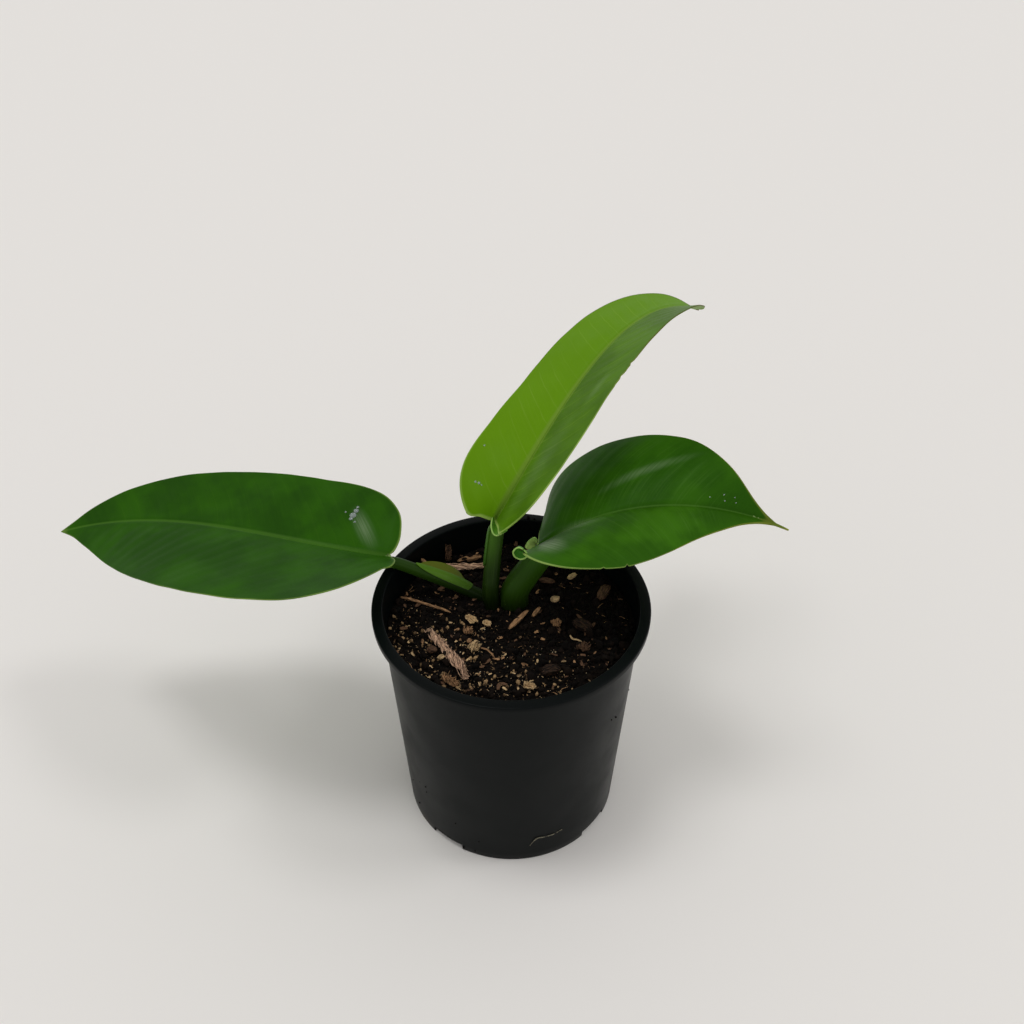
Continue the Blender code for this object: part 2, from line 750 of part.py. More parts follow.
def make_litter(shop):
    """The larger loose pieces of bark, straw, husk and grit on the mix."""
    make_twig(shop, "long_twig", ((-50, 16.5), (-30.5, 8.5)), 0.7, STRAW, sway=1.0)
    make_twig(shop, "back_stick", ((-43, 35), (-38.5, 30.5)), 0.9, STRAW)
    make_twig(shop, "curved_fibre", ((27.5, -7.5), (33, -12)), 0.5, CREAM, sway=-1.2)
    make_twig(shop, "front_fibre", ((-16, -15), (-7.5, -22)), 0.5, STRAW, sway=0.8)
    make_strip(shop, "bark_strip", ((-37, -5), (-30, -16.5), (-24, -23), (-17.5, -34), (-17, -42)),
               4.6, 0.7, BARK)
    make_strip(shop, "peel_strip", ((-33.5, 35), (-26, 37), (-17, 38.5)), 2.6, 0.6, STRAW)
    make_chip(shop, "back_chip", (5.5, 50), (9, 3, 1.4), 4, BARK)
    make_chip(shop, "rear_left_chip", (-21, 48), (9, 2.6, 1.6), 8, STRAW, tilt=4)
    make_chip(shop, "splinter_long", (3.5, 1.0), (13, 2.6, 1.1), 52, STRAW, tilt=3)
    make_chip(shop, "splinter_short", (12.0, 6.5), (6.5, 2.0, 1.0), 60, STRAW)
    make_chip(shop, "right_chip", (17.5, 29), (7, 2.6, 1.4), -12, BARK)
    make_chip(shop, "bright_chip", (30, 32), (5, 2.4, 1.2), 40, CREAM)
    make_chip(shop, "side_chip", (45, 20), (9, 4.5, 2.2), 60, BARK, tilt=6)
    make_chip(shop, "dark_chip_right", (34, -2), (9, 6, 2.4), -35, BARK)
    make_chip(shop, "dark_chip_front", (18, -30), (8, 5, 2.6), 20, BARK)
    make_husk(shop, "husk_left", (-19, 2), (6.5, 4.0, 1.2), -50, CREAM)
    make_husk(shop, "husk_middle", (-11.5, -1), (4.8, 3.2, 1.0), -35, CREAM)
    make_husk(shop, "husk_front", (8, -41), (6.0, 3.6, 1.2), -20, CREAM)
    make_grain(shop, "nut_shell", (-36.5, -18), (4.6, 3.8, 3.0), 3, BARK)
    make_grain(shop, "pale_seed", (-32, -22.5), (3.4, 2.4, 2.0), 4, CREAM)
    make_grain(shop, "tan_seed", (-19.5, -12.5), (2.6, 2.2, 2.0), 5, STRAW)
    make_grain(shop, "shell_grain", (21, 15), (4.6, 3.6, 2.6), 6, CREAM)


# ---------------------------------------------------------------- the whole plant

def make_plant():
    shop = Workshop("potted_philodendron")
    make_pot(shop)
    shop.part("stem", stem_mesh(0.0, "stem"), CROWN)
    crown_cutter = shop.cutter("stem_room", stem_mesh(GAP, "stem_room"))
    buried = [crown_cutter]
    shapes = {leaf.name: LeafShape(leaf) for leaf in LEAVES}
    for name in ("centre", "left", "right"):
        make_blade(shop, shapes[name])
        buried.append(make_petiole(shop, shapes[name], list(buried)))
    buried += [make_root(shop, i, crown_cutter) for i in range(ROOT_COUNT)]
    make_mix(shop, buried)
    make_sheath(shop, "sheath_left", shapes["left"], 3.6, 0.56, 200, 250, PALE_SHEATH)
    make_sheath(shop, "sheath_right", shapes["right"], 1.1, 0.74, 250, 190, PALE_SHEATH)
    make_litter(shop)
    shop.carry_to_bottom_centre()


clear_scene()
make_plant()
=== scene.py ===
"""The looks of a potted philodendron: three waxy leaves on green stalks in a black nursery pot.

Every size is in millimetres about the centre of the pot's foot, +Z up, seen from -Y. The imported
model says where that centre is, and lengths are turned into metres where meshes are placed.
"""

import logging
import math
from collections.abc import Callable, Iterator
from contextlib import contextmanager
from dataclasses import dataclass, field
from enum import Enum

import bpy
import numpy as np
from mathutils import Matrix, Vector, noise


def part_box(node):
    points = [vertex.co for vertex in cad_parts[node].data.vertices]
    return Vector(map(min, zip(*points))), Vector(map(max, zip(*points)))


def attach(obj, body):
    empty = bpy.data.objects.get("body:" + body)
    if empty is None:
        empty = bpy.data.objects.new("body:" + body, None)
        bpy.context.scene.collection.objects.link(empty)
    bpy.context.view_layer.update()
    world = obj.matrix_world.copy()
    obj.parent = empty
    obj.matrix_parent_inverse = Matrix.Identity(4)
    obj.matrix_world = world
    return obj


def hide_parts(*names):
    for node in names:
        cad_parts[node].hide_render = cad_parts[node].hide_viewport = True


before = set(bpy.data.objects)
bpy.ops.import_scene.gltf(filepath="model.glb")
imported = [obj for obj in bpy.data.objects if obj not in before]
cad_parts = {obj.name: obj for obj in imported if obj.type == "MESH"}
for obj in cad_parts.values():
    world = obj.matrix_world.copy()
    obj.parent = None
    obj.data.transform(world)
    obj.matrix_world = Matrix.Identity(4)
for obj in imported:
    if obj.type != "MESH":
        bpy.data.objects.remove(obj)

Array = np.ndarray
Colour = tuple[float, float, float, float]
Tree = bpy.types.NodeTree
Socket = bpy.types.NodeSocket

LOG = logging.getLogger("philodendron")
MM = 0.001
MERGE = 1e-6
BODY = "root"

POT_LOW, POT_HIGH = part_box("nursery_pot")
POT_PLACE = np.array([(POT_LOW.x + POT_HIGH.x) / 2, (POT_LOW.y + POT_HIGH.y) / 2, POT_LOW.z])
POT_HEIGHT = (POT_HIGH.z - POT_LOW.z) / MM
LIP_RADIUS = (POT_HIGH.x - POT_LOW.x) / 2 / MM


# ---------------------------------------------------------------- modelling helpers

def placed(points: Array) -> Array:
    """Millimetres about the pot's foot turned into metres in the model's frame."""
    return np.asarray(points, float) * MM + POT_PLACE


def deselect() -> None:
    """Leave every object unselected, in object mode."""
    if bpy.context.object and bpy.context.object.mode != "OBJECT":
        bpy.ops.object.mode_set(mode="OBJECT")
    bpy.ops.object.select_all(action="DESELECT")


def choose(piece: bpy.types.Object) -> None:
    """Make one object the only selected and the active one."""
    deselect()
    piece.select_set(True)
    bpy.context.view_layer.objects.active = piece


@contextmanager
def editing(piece: bpy.types.Object) -> Iterator[None]:
    """Edit mode on one object, with all of it selected."""
    choose(piece)
    bpy.ops.object.mode_set(mode="EDIT")
    bpy.ops.mesh.select_all(action="SELECT")
    yield
    bpy.ops.object.mode_set(mode="OBJECT")


def named(name: str) -> bpy.types.Object:
    """Give the object that was just added its name, and return it."""
    piece = bpy.context.object
    piece.name = name
    piece.data.name = name
    return piece


def read_points(piece: bpy.types.Object) -> Array:
    """The vertices of a mesh object."""
    points = np.zeros(len(piece.data.vertices) * 3)
    piece.data.vertices.foreach_get("co", points)
    return points.reshape(-1, 3)


def write_points(piece: bpy.types.Object, points: Array) -> None:
    """Move the vertices of a mesh object to new places."""
    piece.data.vertices.foreach_set("co", np.asarray(points, np.float32).ravel())
    piece.data.update()


def read_normals(piece: bpy.types.Object) -> Array:
    """The vertex normals of a mesh object."""
    normals = np.zeros(len(piece.data.vertices) * 3, np.float32)
    piece.data.vertex_normals.foreach_get("vector", normals)
    return normals.reshape(-1, 3).astype(float)


def note(piece: bpy.types.Object, name: str, values: Array) -> None:
    """Keep a value or a vector on every vertex, for the finishes to read.

    Args:
        piece: the mesh object.
        name: the attribute's name.
        values: a number or a row of three for each vertex.
    """
    kind = "FLOAT" if values.ndim == 1 else "FLOAT_VECTOR"
    key = "value" if values.ndim == 1 else "vector"
    attribute = piece.data.attributes.new(name, kind, "POINT")
    attribute.data.foreach_set(key, np.asarray(values, np.float32).ravel())


def apply(piece: bpy.types.Object, kind: str, **settings: object) -> None:
    """Add a modifier and apply it.

    Args:
        piece: the mesh object.
        kind: the modifier's type.
        settings: the modifier's properties.
    """
    choose(piece)
    modifier = piece.modifiers.new(kind.lower(), kind)
    for key, value in settings.items():
        setattr(modifier, key, value)
    bpy.ops.object.modifier_apply(modifier=modifier.name)


def smooth(piece: bpy.types.Object, degrees: float = 60.0) -> None:
    """Shade smooth, with creases sharper than an angle kept."""
    choose(piece)
    bpy.ops.object.shade_smooth_by_angle(angle=math.radians(degrees))


def close_up(piece: bpy.types.Object) -> None:
    """Merge doubled vertices, fill open ends and turn all faces outwards.

    Args:
        piece: the mesh object.
    """
    with editing(piece):
        bpy.ops.mesh.remove_doubles(threshold=MERGE)
        bpy.ops.mesh.select_all(action="DESELECT")
        bpy.ops.mesh.select_mode(type="VERT")
        bpy.ops.mesh.select_non_manifold(extend=False, use_wire=False, use_multi_face=False,
                                         use_non_contiguous=False, use_verts=False)
        bpy.ops.mesh.edge_face_add()
        bpy.ops.mesh.select_all(action="SELECT")
        bpy.ops.mesh.normals_make_consistent(inside=False)


def face_out(piece: bpy.types.Object) -> None:
    """Turn all faces of a closed piece outwards."""
    with editing(piece):
        bpy.ops.mesh.normals_make_consistent(inside=False)


def join(pieces: list) -> bpy.types.Object:
    """Join objects into the first of them, and return it."""
    choose(pieces[0])
    for piece in pieces[1:]:
        piece.select_set(True)
    bpy.ops.object.join()
    return pieces[0]


def add_grid(name: str, rows: int, columns: int) -> tuple[bpy.types.Object, Array, Array]:
    """A flat grid to be shaped.

    Args:
        name: the piece's name.
        rows: how many faces it has along.
        columns: how many faces it has across.

    Returns:
        The object, and each vertex's shares along and across, from 0 to 1.
    """
    deselect()
    bpy.ops.mesh.primitive_grid_add(x_subdivisions=rows, y_subdivisions=columns, size=1)
    piece = named(name)
    points = read_points(piece)
    return piece, points[:, 0] + 0.5, points[:, 1] + 0.5


def through(points: Array, count: int) -> Array:
    """Sample the smooth curve through a few points (Catmull-Rom).

    Args:
        points: the points, at least two.
        count: how many samples to take, evenly by their share of the points.

    Returns:
        The samples, one in each row.
    """
    pts = np.asarray(points, float)
    ends = np.vstack([2 * pts[0] - pts[1], pts, 2 * pts[-1] - pts[-2]])
    t = np.linspace(0, len(pts) - 1, count)
    i = np.minimum(t.astype(int), len(pts) - 2)
    u = (t - i)[:, None]
    a, b, c, d = ends[i], ends[i + 1], ends[i + 2], ends[i + 3]
    return 0.5 * (2 * b + (c - a) * u + (2 * a - 5 * b + 4 * c - d) * u ** 2
                  + (3 * b - a - 3 * c + d) * u ** 3)


def along_table(share: Array, table: Array) -> Array:
    """Rows of a table of vectors, read between its lines at shares from 0 to 1."""
    spots = np.linspace(0, 1, len(table))
    return np.stack([np.interp(share, spots, table[:, k]) for k in range(3)], -1)


def path_frames(path: Array) -> tuple[Array, Array, Array]:
    """Directions along a path, with two directions square to it at each point.

    Args:
        path: points along it.

    Returns:
        The directions ahead, to the side and to the front, one in each row.
    """
    ahead = np.gradient(path, axis=0)
    ahead /= np.linalg.norm(ahead, axis=1)[:, None]
    side = np.cross(ahead, (0.0, 1.0, 0.0))
    side /= np.linalg.norm(side, axis=1)[:, None]
    return ahead, side, np.cross(side, ahead)


def roughness_at(points: Array, size: float, octaves: int = 3, seed: float = 0.0) -> Array:
    """Fractal noise of about -1 to 1.

    Args:
        points: where to read it, in millimetres.
        size: how large its lumps are, in millimetres.
        octaves: how many finer layers it has.
        seed: moves it, so that two pieces differ.

    Returns:
        A number for each point.
    """
    shift = Vector((seed, 2.3 * seed, 0.7 * seed))
    return np.array([noise.fractal(Vector(p) / size + shift, 0.8, 2.1, octaves) for p in points])


def tube(name: str, path: Array, radius: Callable[[Array, Array], Array], sides: int,
         rows: int) -> bpy.types.Object:
    """A closed tube along a path, whose radius is a function of along and around.

    Args:
        name: the piece's name.
        path: points in millimetres about the pot's foot.
        radius: function of the shares along and around that gives millimetres.
        sides: faces around.
        rows: faces along.

    Returns:
        The tube, with its run along and around kept as the attribute grain.
    """
    piece, u, v = add_grid(name, rows, sides)
    _, side, front = path_frames(path)
    turn = v * math.tau
    reach = radius(u, v)
    points = (along_table(u, path) + along_table(u, side) * (np.cos(turn) * reach)[:, None]
              + along_table(u, front) * (np.sin(turn) * reach)[:, None])
    length = np.linalg.norm(np.diff(path, axis=0), axis=1).sum()
    write_points(piece, placed(points))
    note(piece, "grain", np.stack([u * length, np.sin(turn) * reach, np.cos(turn) * reach], 1))
    close_up(piece)
    return piece


# ---------------------------------------------------------------- finishes

def paint(code: str) -> Colour:
    """An sRGB hex colour as linear numbers."""
    parts = [int(code[i:i + 2], 16) / 255 for i in (1, 3, 5)]
    linear = [c / 12.92 if c <= 0.04045 else ((c + 0.055) / 1.055) ** 2.4 for c in parts]
    return (*linear, 1.0)


def add(tree: Tree, kind: str, links: dict[str | int, object] | None = None,
        **settings: object) -> bpy.types.Node:
    """Add a node.

    Args:
        tree: the material's node tree.
        kind: the node's type, without its ShaderNode start.
        links: for each input, the socket that feeds it or its value.
        settings: the node's properties.

    Returns:
        The new node.
    """
    made = tree.nodes.new("ShaderNode" + kind)
    for key, value in settings.items():
        setattr(made, key, value)
    for key, value in (links or {}).items():
        if isinstance(value, Socket):
            tree.links.new(value, made.inputs[key])
        else:
            made.inputs[key].default_value = value
    return made


def ramp(tree: Tree, value: Socket, start: float, end: float, low: float = 0.0,
         high: float = 1.0) -> Socket:
    """Turn a value smoothly into another.

    Args:
        tree: the material's node tree.
        value: the value.
        start: the value that gives low.
        end: the value that gives high.
        low: the result at the start.
        high: the result at the end.

    Returns:
        The result's socket.
    """
    return add(tree, "MapRange", {"Value": value, "From Min": start, "From Max": end,
                                  "To Min": low, "To Max": high},
               interpolation_type="SMOOTHSTEP").outputs[0]


def maths(tree: Tree, operation: str, *values: Socket | float) -> Socket:
    """One step of arithmetic."""
    return add(tree, "Math", dict(enumerate(values)), operation=operation).outputs[0]


def blend(tree: Tree, share: Socket | float, first: Socket | str, second: Socket | str) -> Socket:
    """Mix two colours.

    Args:
        tree: the material's node tree.
        share: how much of the second one there is.
        first: a socket or a hex code.
        second: a socket or a hex code.

    Returns:
        The mixed colour's socket.
    """
    pair = [paint(colour) if isinstance(colour, str) else colour for colour in (first, second)]
    return add(tree, "Mix", {0: share, 6: pair[0], 7: pair[1]}, data_type="RGBA").outputs[2]


def grain(tree: Tree, place: Socket, size: float, detail: float = 4.0,
          stretch: tuple | None = None) -> Socket:
    """Noise of about 0 to 1.

    Args:
        tree: the material's node tree.
        place: the coordinate.
        size: how large its lumps are, in the coordinate's own unit.
        detail: how many finer layers it has.
        stretch: for each axis, how much the coordinate is scaled first.

    Returns:
        The noise's socket.
    """
    if stretch:
        place = add(tree, "Mapping", {"Vector": place, "Scale": stretch}).outputs[0]
    return add(tree, "TexNoise", {"Vector": place, "Scale": 1 / size,
                                  "Detail": detail}).outputs[0]


def kept(tree: Tree, name: str) -> bpy.types.Node:
    """A value or a vector that the piece keeps on its vertices."""
    return add(tree, "Attribute", attribute_name=name)


class Finish:
    """What every finish shares: a name, and one material made from it once."""

    name: str
    roughness: float
    ior: float
    specular: float = 0.2

    def material(self) -> bpy.types.Material:
        """The Blender material, made the first time it is asked for."""
        found = bpy.data.materials.get(self.name)
        if found:
            return found
        made = bpy.data.materials.new(self.name)
        made.use_nodes = True
        tree = made.node_tree
        shader = tree.nodes["Principled BSDF"]
        shader.inputs["Roughness"].default_value = self.roughness
        shader.inputs["IOR"].default_value = self.ior
        shader.inputs["Specular IOR Level"].default_value = self.specular
        self.dress(tree, shader)
        return made

    def dress(self, tree: Tree, shader: bpy.types.Node) -> None:
        """Add the finish's own nodes.

        Args:
            tree: the material's node tree.
            shader: its Principled node.
        """
        raise NotImplementedError

    def coat(self, tree: Tree, shader: bpy.types.Node, colour: Socket, height: Socket,
             strength: float, depth: float) -> None:
        """Link a colour and a relief to the shader.

        Args:
            tree: the material's node tree.
            shader: its Principled node.
            colour: the colour.
            height: the relief, from 0 to 1.
            strength: how strongly the relief turns the surface.
            depth: how deep the relief is, in millimetres.
        """
        bump = add(tree, "Bump", {"Height": height, "Strength": strength, "Distance": depth * MM})
        tree.links.new(colour, shader.inputs["Base Color"])
        tree.links.new(bump.outputs[0], shader.inputs["Normal"])


@dataclass(frozen=True)
class MouldedPolypropylene(Finish):
    """Injection-moulded black polypropylene: satin and near black, a little dusty at the foot.

    The eye reads it from a soft sheen where the wall turns away, and from a fine moulded grain.
    """

    name: str = "moulded_black_polypropylene"
    roughness: float = 0.34
    ior: float = 1.49
    specular: float = 0.07
    body: str = "#070b0b"
    dust: str = "#3a342c"
    texture: float = 0.5
    cloud: float = 20.0
    dust_height: float = 9.0

    def dress(self, tree: Tree, shader: bpy.types.Node) -> None:
        """Body colour, dust by height, and a moulded grain in gloss and relief."""
        place = add(tree, "TexCoord").outputs["Object"]
        moulded = grain(tree, place, self.texture * MM)
        cloud = grain(tree, place, self.cloud * MM, 5.0)
        height = add(tree, "SeparateXYZ", {0: place}).outputs["Z"]
        low = ramp(tree, height, self.dust_height * MM, 0.0, 0.0, 0.5)
        share = maths(tree, "MULTIPLY", low, ramp(tree, cloud, 0.45, 0.7))
        colour = blend(tree, share, self.body, self.dust)
        gloss = ramp(tree, cloud, 0.3, 0.7, self.roughness - 0.04, self.roughness + 0.06)
        tree.links.new(gloss, shader.inputs["Roughness"])
        self.coat(tree, shader, colour, moulded, 0.15, 0.02)


@dataclass(frozen=True)
class PeatMix(Finish):
    """Damp peat and bark fines: near black, matt, with browner crumbs."""

    name: str = "damp_peat"
    roughness: float = 0.95
    ior: float = 1.4
    dark: str = "#050302"
    light: str = "#1a110b"
    crumb: float = 1.1

    def dress(self, tree: Tree, shader: bpy.types.Node) -> None:
        """Dark and browner crumbs, rough all over."""
        crumbs = grain(tree, add(tree, "TexCoord").outputs["Object"], self.crumb * MM, 7.0)
        colour = blend(tree, ramp(tree, crumbs, 0.45, 0.72), self.dark, self.light)
        self.coat(tree, shader, colour, crumbs, 0.9, 0.6)


@dataclass(frozen=True)
class LooseCrumbs(Finish):
    """Loose grains of one kind, each with a tint of its own between two colours."""

    name: str
    dark: str
    light: str
    roughness: float = 0.85
    ior: float = 1.4
    pit: float = 0.5

    def dress(self, tree: Tree, shader: bpy.types.Node) -> None:
        """The grain's own tint, mottled, over a pitted surface."""
        pits = grain(tree, add(tree, "TexCoord").outputs["Object"], self.pit * MM)
        share = maths(tree, "ADD", kept(tree, "tint").outputs["Fac"],
                      ramp(tree, pits, 0.3, 0.7, -0.25, 0.25))
        colour = blend(tree, share, self.dark, self.light)
        self.coat(tree, shader, colour, pits, 0.7, 0.25)


@dataclass(frozen=True)
class SplitFibre(Finish):
    """Bark, straw or husk: fibres that run along the piece, pale ridges between dark cracks."""

    name: str
    dark: str
    light: str
    roughness: float = 0.82
    ior: float = 1.42
    fibre: float = 0.35

    def dress(self, tree: Tree, shader: bpy.types.Node) -> None:
        """Streaks along the grain attribute, in colour and in relief."""
        streaks = grain(tree, kept(tree, "grain").outputs["Vector"], self.fibre,
                        stretch=(0.12, 1.0, 1.0))
        share = add(tree, "Math", {0: ramp(tree, streaks, 0.36, 0.64), 1: 0.75,
                                   2: kept(tree, "tint").outputs["Fac"]},
                    operation="MULTIPLY_ADD", use_clamp=True).outputs[0]
        colour = blend(tree, share, self.dark, self.light)
        self.coat(tree, shader, colour, streaks, 0.8, 0.25)


@dataclass(frozen=True)
class PaintedSheen:
    """A painted sheen on a leaf, a pale patch that stands in for light off its waxy face: its
    place, size, turn and strength.
    """

    along: float
    across: float
    length: float
    width: float
    turn: float
    share: float


@dataclass(frozen=True)
class LeafSkin(Finish):
    """The upper face of a waxy leaf: satin green in soft bands that follow its side veins.

    The bands leave the midrib and bend towards the tip. Few side veins show, as finer paler
    lines. The midrib is a soft band, narrower towards the tip, with a groove along it that is
    painted darker as shade.
    """

    name: str
    deep: str
    fresh: str
    painted_half_colour: str
    vein: str
    midrib: str
    margin: str
    tip_margin: str
    roughness: float = 0.42
    ior: float = 1.42
    specular: float = 0.05
    band: float = 4.5
    band_share: float = 0.16
    streak: float = 0.8
    streak_share: float = 0.10
    vein_space: float = 9.0
    vein_width: float = 0.4
    vein_share: float = 0.16
    rib_width: float = 1.7
    rib_share: float = 0.45
    groove_shade_share: float = 0.25
    painted_half_share: float = 0.0
    margin_width: float = 0.32
    base_margin: float = 0.6
    margin_share: float = 0.7
    tip_start: float = 0.972
    blotch: float = 24.0
    cell: float = 0.9
    painted_sheen_colour: str = "#93a585"
    painted_sheens: tuple = ()

    def veins(self, tree: Tree, course: Socket, cloud: Socket) -> Socket:
        """Side veins, as fine lines that wander a little and come and go.

        Args:
            tree: the material's node tree.
            course: distance across the veins, in millimetres.
            cloud: noise that moves them and breaks them up.

        Returns:
            The socket of the veins' share.
        """
        wander = add(tree, "Math", {0: cloud, 1: 5.0, 2: course}, operation="MULTIPLY_ADD")
        line = maths(tree, "PINGPONG", wander.outputs[0], self.vein_space / 2)
        shown = ramp(tree, line, self.vein_width, 0.0)
        return maths(tree, "MULTIPLY", shown, ramp(tree, cloud, 0.4, 0.6, 0.3, 1.0))

    def painted_sheen_share(self, tree: Tree, spot: Socket, patch: PaintedSheen, streaks: Socket) -> Socket:
        """One streaky patch of painted sheen, fading out from its middle.

        Args:
            tree: the material's node tree.
            spot: distances along and across the leaf, in millimetres.
            patch: the patch's place, size, turn and strength.
            streaks: noise that breaks it up.

        Returns:
            The socket of the sheen's share.
        """
        moved = add(tree, "Mapping", {"Vector": spot, "Rotation": (0, 0, math.radians(patch.turn)),
                                      "Location": (patch.along, patch.across, 0),
                                      "Scale": (patch.length, patch.width, 1e6)},
                    vector_type="TEXTURE").outputs[0]
        away = add(tree, "VectorMath", {0: moved}, operation="LENGTH").outputs["Value"]
        return maths(tree, "MULTIPLY", ramp(tree, away, 1.0, 0.0, 0.0, patch.share),
                     ramp(tree, streaks, 0.35, 0.62, 0.5, 1.0))

    def dress(self, tree: Tree, shader: bpy.types.Node) -> None:
        """Banded and blotched green, veins, midrib, painted sheen and margin, with their relief.
        """
        place = add(tree, "TexCoord").outputs["Object"]
        run = kept(tree, "blade").outputs["Vector"]
        spot = add(tree, "SeparateXYZ", {0: run}).outputs
        rim = add(tree, "SeparateXYZ", {0: kept(tree, "rim").outputs["Vector"]}).outputs
        cloud = grain(tree, place, self.blotch * MM, 3.0)
        cells = grain(tree, place, self.cell * MM, 2.0)
        bands = grain(tree, run, self.band, 3.0, stretch=(0.0, 0.12, 1.0))
        streaks = grain(tree, run, self.streak, 2.0, stretch=(0.0, 0.03, 1.0))
        inner = ramp(tree, rim["X"], 0.0, 10.0)
        tone = maths(tree, "ADD", ramp(tree, cloud, 0.35, 0.65, 0.0, 1 - self.band_share),
                     ramp(tree, bands, 0.35, 0.65, 0.0, self.band_share))
        colour = blend(tree, tone, self.deep, self.fresh)
        # Painted light and shade: the left half is blended towards a colour of its own, lighter on
        # the centre leaf and darker on the right one, for how the folded half meets the light.
        half = ramp(tree, spot["Y"], 3.0, -3.0, 0.0, self.painted_half_share)
        colour = blend(tree, half, colour, self.painted_half_colour)
        fine = maths(tree, "MULTIPLY", ramp(tree, streaks, 0.52, 0.72, 0.0, self.streak_share),
                     inner)
        veins = maths(tree, "MULTIPLY", self.veins(tree, spot["Z"], cloud), inner)
        lines = maths(tree, "MAXIMUM", fine, maths(tree, "MULTIPLY", veins, self.vein_share))
        colour = blend(tree, lines, colour, self.vein)
        narrow = ramp(tree, rim["Y"], 0.0, 1.0, 1.0, 0.35)
        away = maths(tree, "DIVIDE", maths(tree, "ABSOLUTE", spot["Y"]), narrow)
        rib = ramp(tree, away, self.rib_width, self.rib_width * 0.3, 0.0, self.rib_share)
        colour = blend(tree, rib, colour, self.midrib)
        # Painted shade: the channel along the midrib is darkened towards the deep green.
        groove = ramp(tree, away, 0.6, 0.1, 0.0, self.groove_shade_share)
        colour = blend(tree, groove, colour, self.deep)
        # Painted sheen: pale patches mixed into the colour stand in for light reflected off the
        # waxy face.
        for patch in self.painted_sheens:
            colour = blend(tree, self.painted_sheen_share(tree, run, patch, streaks), colour, self.painted_sheen_colour)
        wide = ramp(tree, rim["Y"], 0.0, 0.3, self.base_margin, self.margin_width)
        edge = maths(tree, "MULTIPLY", ramp(tree, maths(tree, "DIVIDE", rim["X"], wide), 1.0, 0.3),
                     ramp(tree, cloud, 0.35, 0.6, 0.4, self.margin_share))
        brown = blend(tree, ramp(tree, rim["Y"], 0.25, 0.6), self.margin, self.tip_margin)
        colour = blend(tree, edge, colour, brown)
        colour = blend(tree, ramp(tree, rim["Y"], self.tip_start, 0.995), colour, self.tip_margin)
        relief = add(tree, "Math", {0: bands, 1: 0.6, 2: cells}, operation="MULTIPLY_ADD")
        gloss = ramp(tree, cells, 0.3, 0.7, self.roughness - 0.05, self.roughness + 0.05)
        tree.links.new(gloss, shader.inputs["Roughness"])
        self.coat(tree, shader, colour, relief.outputs[0], 0.3, 0.08)


@dataclass(frozen=True)
class LeafBack(Finish):
    """The under face of a leaf: paler, greyer and duller, with raised veins."""

    name: str
    body: str
    vein: str
    roughness: float = 0.55
    ior: float = 1.4
    vein_space: float = 9.0

    def dress(self, tree: Tree, shader: bpy.types.Node) -> None:
        """Pale body with veins that stand out."""
        spot = add(tree, "SeparateXYZ", {0: kept(tree, "blade").outputs["Vector"]}).outputs
        rib = ramp(tree, maths(tree, "ABSOLUTE", spot["Y"]), 2.2, 0.9)
        turn = maths(tree, "PINGPONG", spot["Z"], self.vein_space / 2)
        lines = ramp(tree, turn, 0.6, 0.0)
        both = maths(tree, "MAXIMUM", rib, lines)
        colour = blend(tree, maths(tree, "MULTIPLY", both, 0.6), self.body, self.vein)
        self.coat(tree, shader, colour, both, 0.6, 0.25)


@dataclass(frozen=True)
class StalkSkin(Finish):
    """Living stalk: smooth satin green, darker at its foot, with faint pale streaks along it.

    One side is painted darker as shade, as the grain attribute gives the place around the stalk.
    """

    name: str
    foot: str
    middle: str
    top: str
    streak: str = "#5d7d34"
    roughness: float = 0.40
    ior: float = 1.42
    specular: float = 0.10
    foot_height: float = 112.0
    top_height: float = 150.0
    streak_share: float = 0.09
    shade_share: float = 0.45
    shade_width: float = 4.0
    fibre: float = 0.6
    pore_space: float = 3.4

    def dress(self, tree: Tree, shader: bpy.types.Node) -> None:
        """Three greens by height, streaks along the grain, a few pale pores, a side painted darker
        as shade.
        """
        place = add(tree, "TexCoord").outputs["Object"]
        run = kept(tree, "grain").outputs["Vector"]
        height = add(tree, "SeparateXYZ", {0: place}).outputs["Z"]
        round_it = add(tree, "SeparateXYZ", {0: run}).outputs["Z"]
        half = (self.foot_height + self.top_height) / 2
        streaks = grain(tree, run, self.fibre, 3.0, stretch=(0.06, 1.0, 1.0))
        pores = add(tree, "TexVoronoi", {"Vector": place,
                                         "Scale": 1 / (self.pore_space * MM)}).outputs[0]
        colour = blend(tree, ramp(tree, height, self.foot_height * MM, half * MM),
                       self.foot, self.middle)
        colour = blend(tree, ramp(tree, height, half * MM, self.top_height * MM), colour, self.top)
        pale = maths(tree, "MAXIMUM", ramp(tree, streaks, 0.5, 0.75, 0.0, self.streak_share),
                     ramp(tree, pores, 0.12, 0.05, 0.0, 0.3))
        colour = blend(tree, pale, colour, self.streak)
        # Painted shade: one side of the stalk is blended towards the foot's dark green.
        shade = ramp(tree, round_it, self.shade_width * 0.4, -self.shade_width, 0.0,
                     self.shade_share)
        colour = blend(tree, shade, colour, self.foot)
        self.coat(tree, shader, colour, streaks, 0.15, 0.12)


@dataclass(frozen=True)
class CorkyRoot(Finish):
    """Stem base and roots: matt, corky, ringed."""

    name: str
    dark: str
    light: str
    roughness: float = 0.8
    ior: float = 1.4
    lump: float = 1.2

    def dress(self, tree: Tree, shader: bpy.types.Node) -> None:
        """Mottled cork."""
        cork = grain(tree, add(tree, "TexCoord").outputs["Object"], self.lump * MM, 5.0)
        self.coat(tree, shader, blend(tree, cork, self.dark, self.light), cork, 0.7, 0.3)


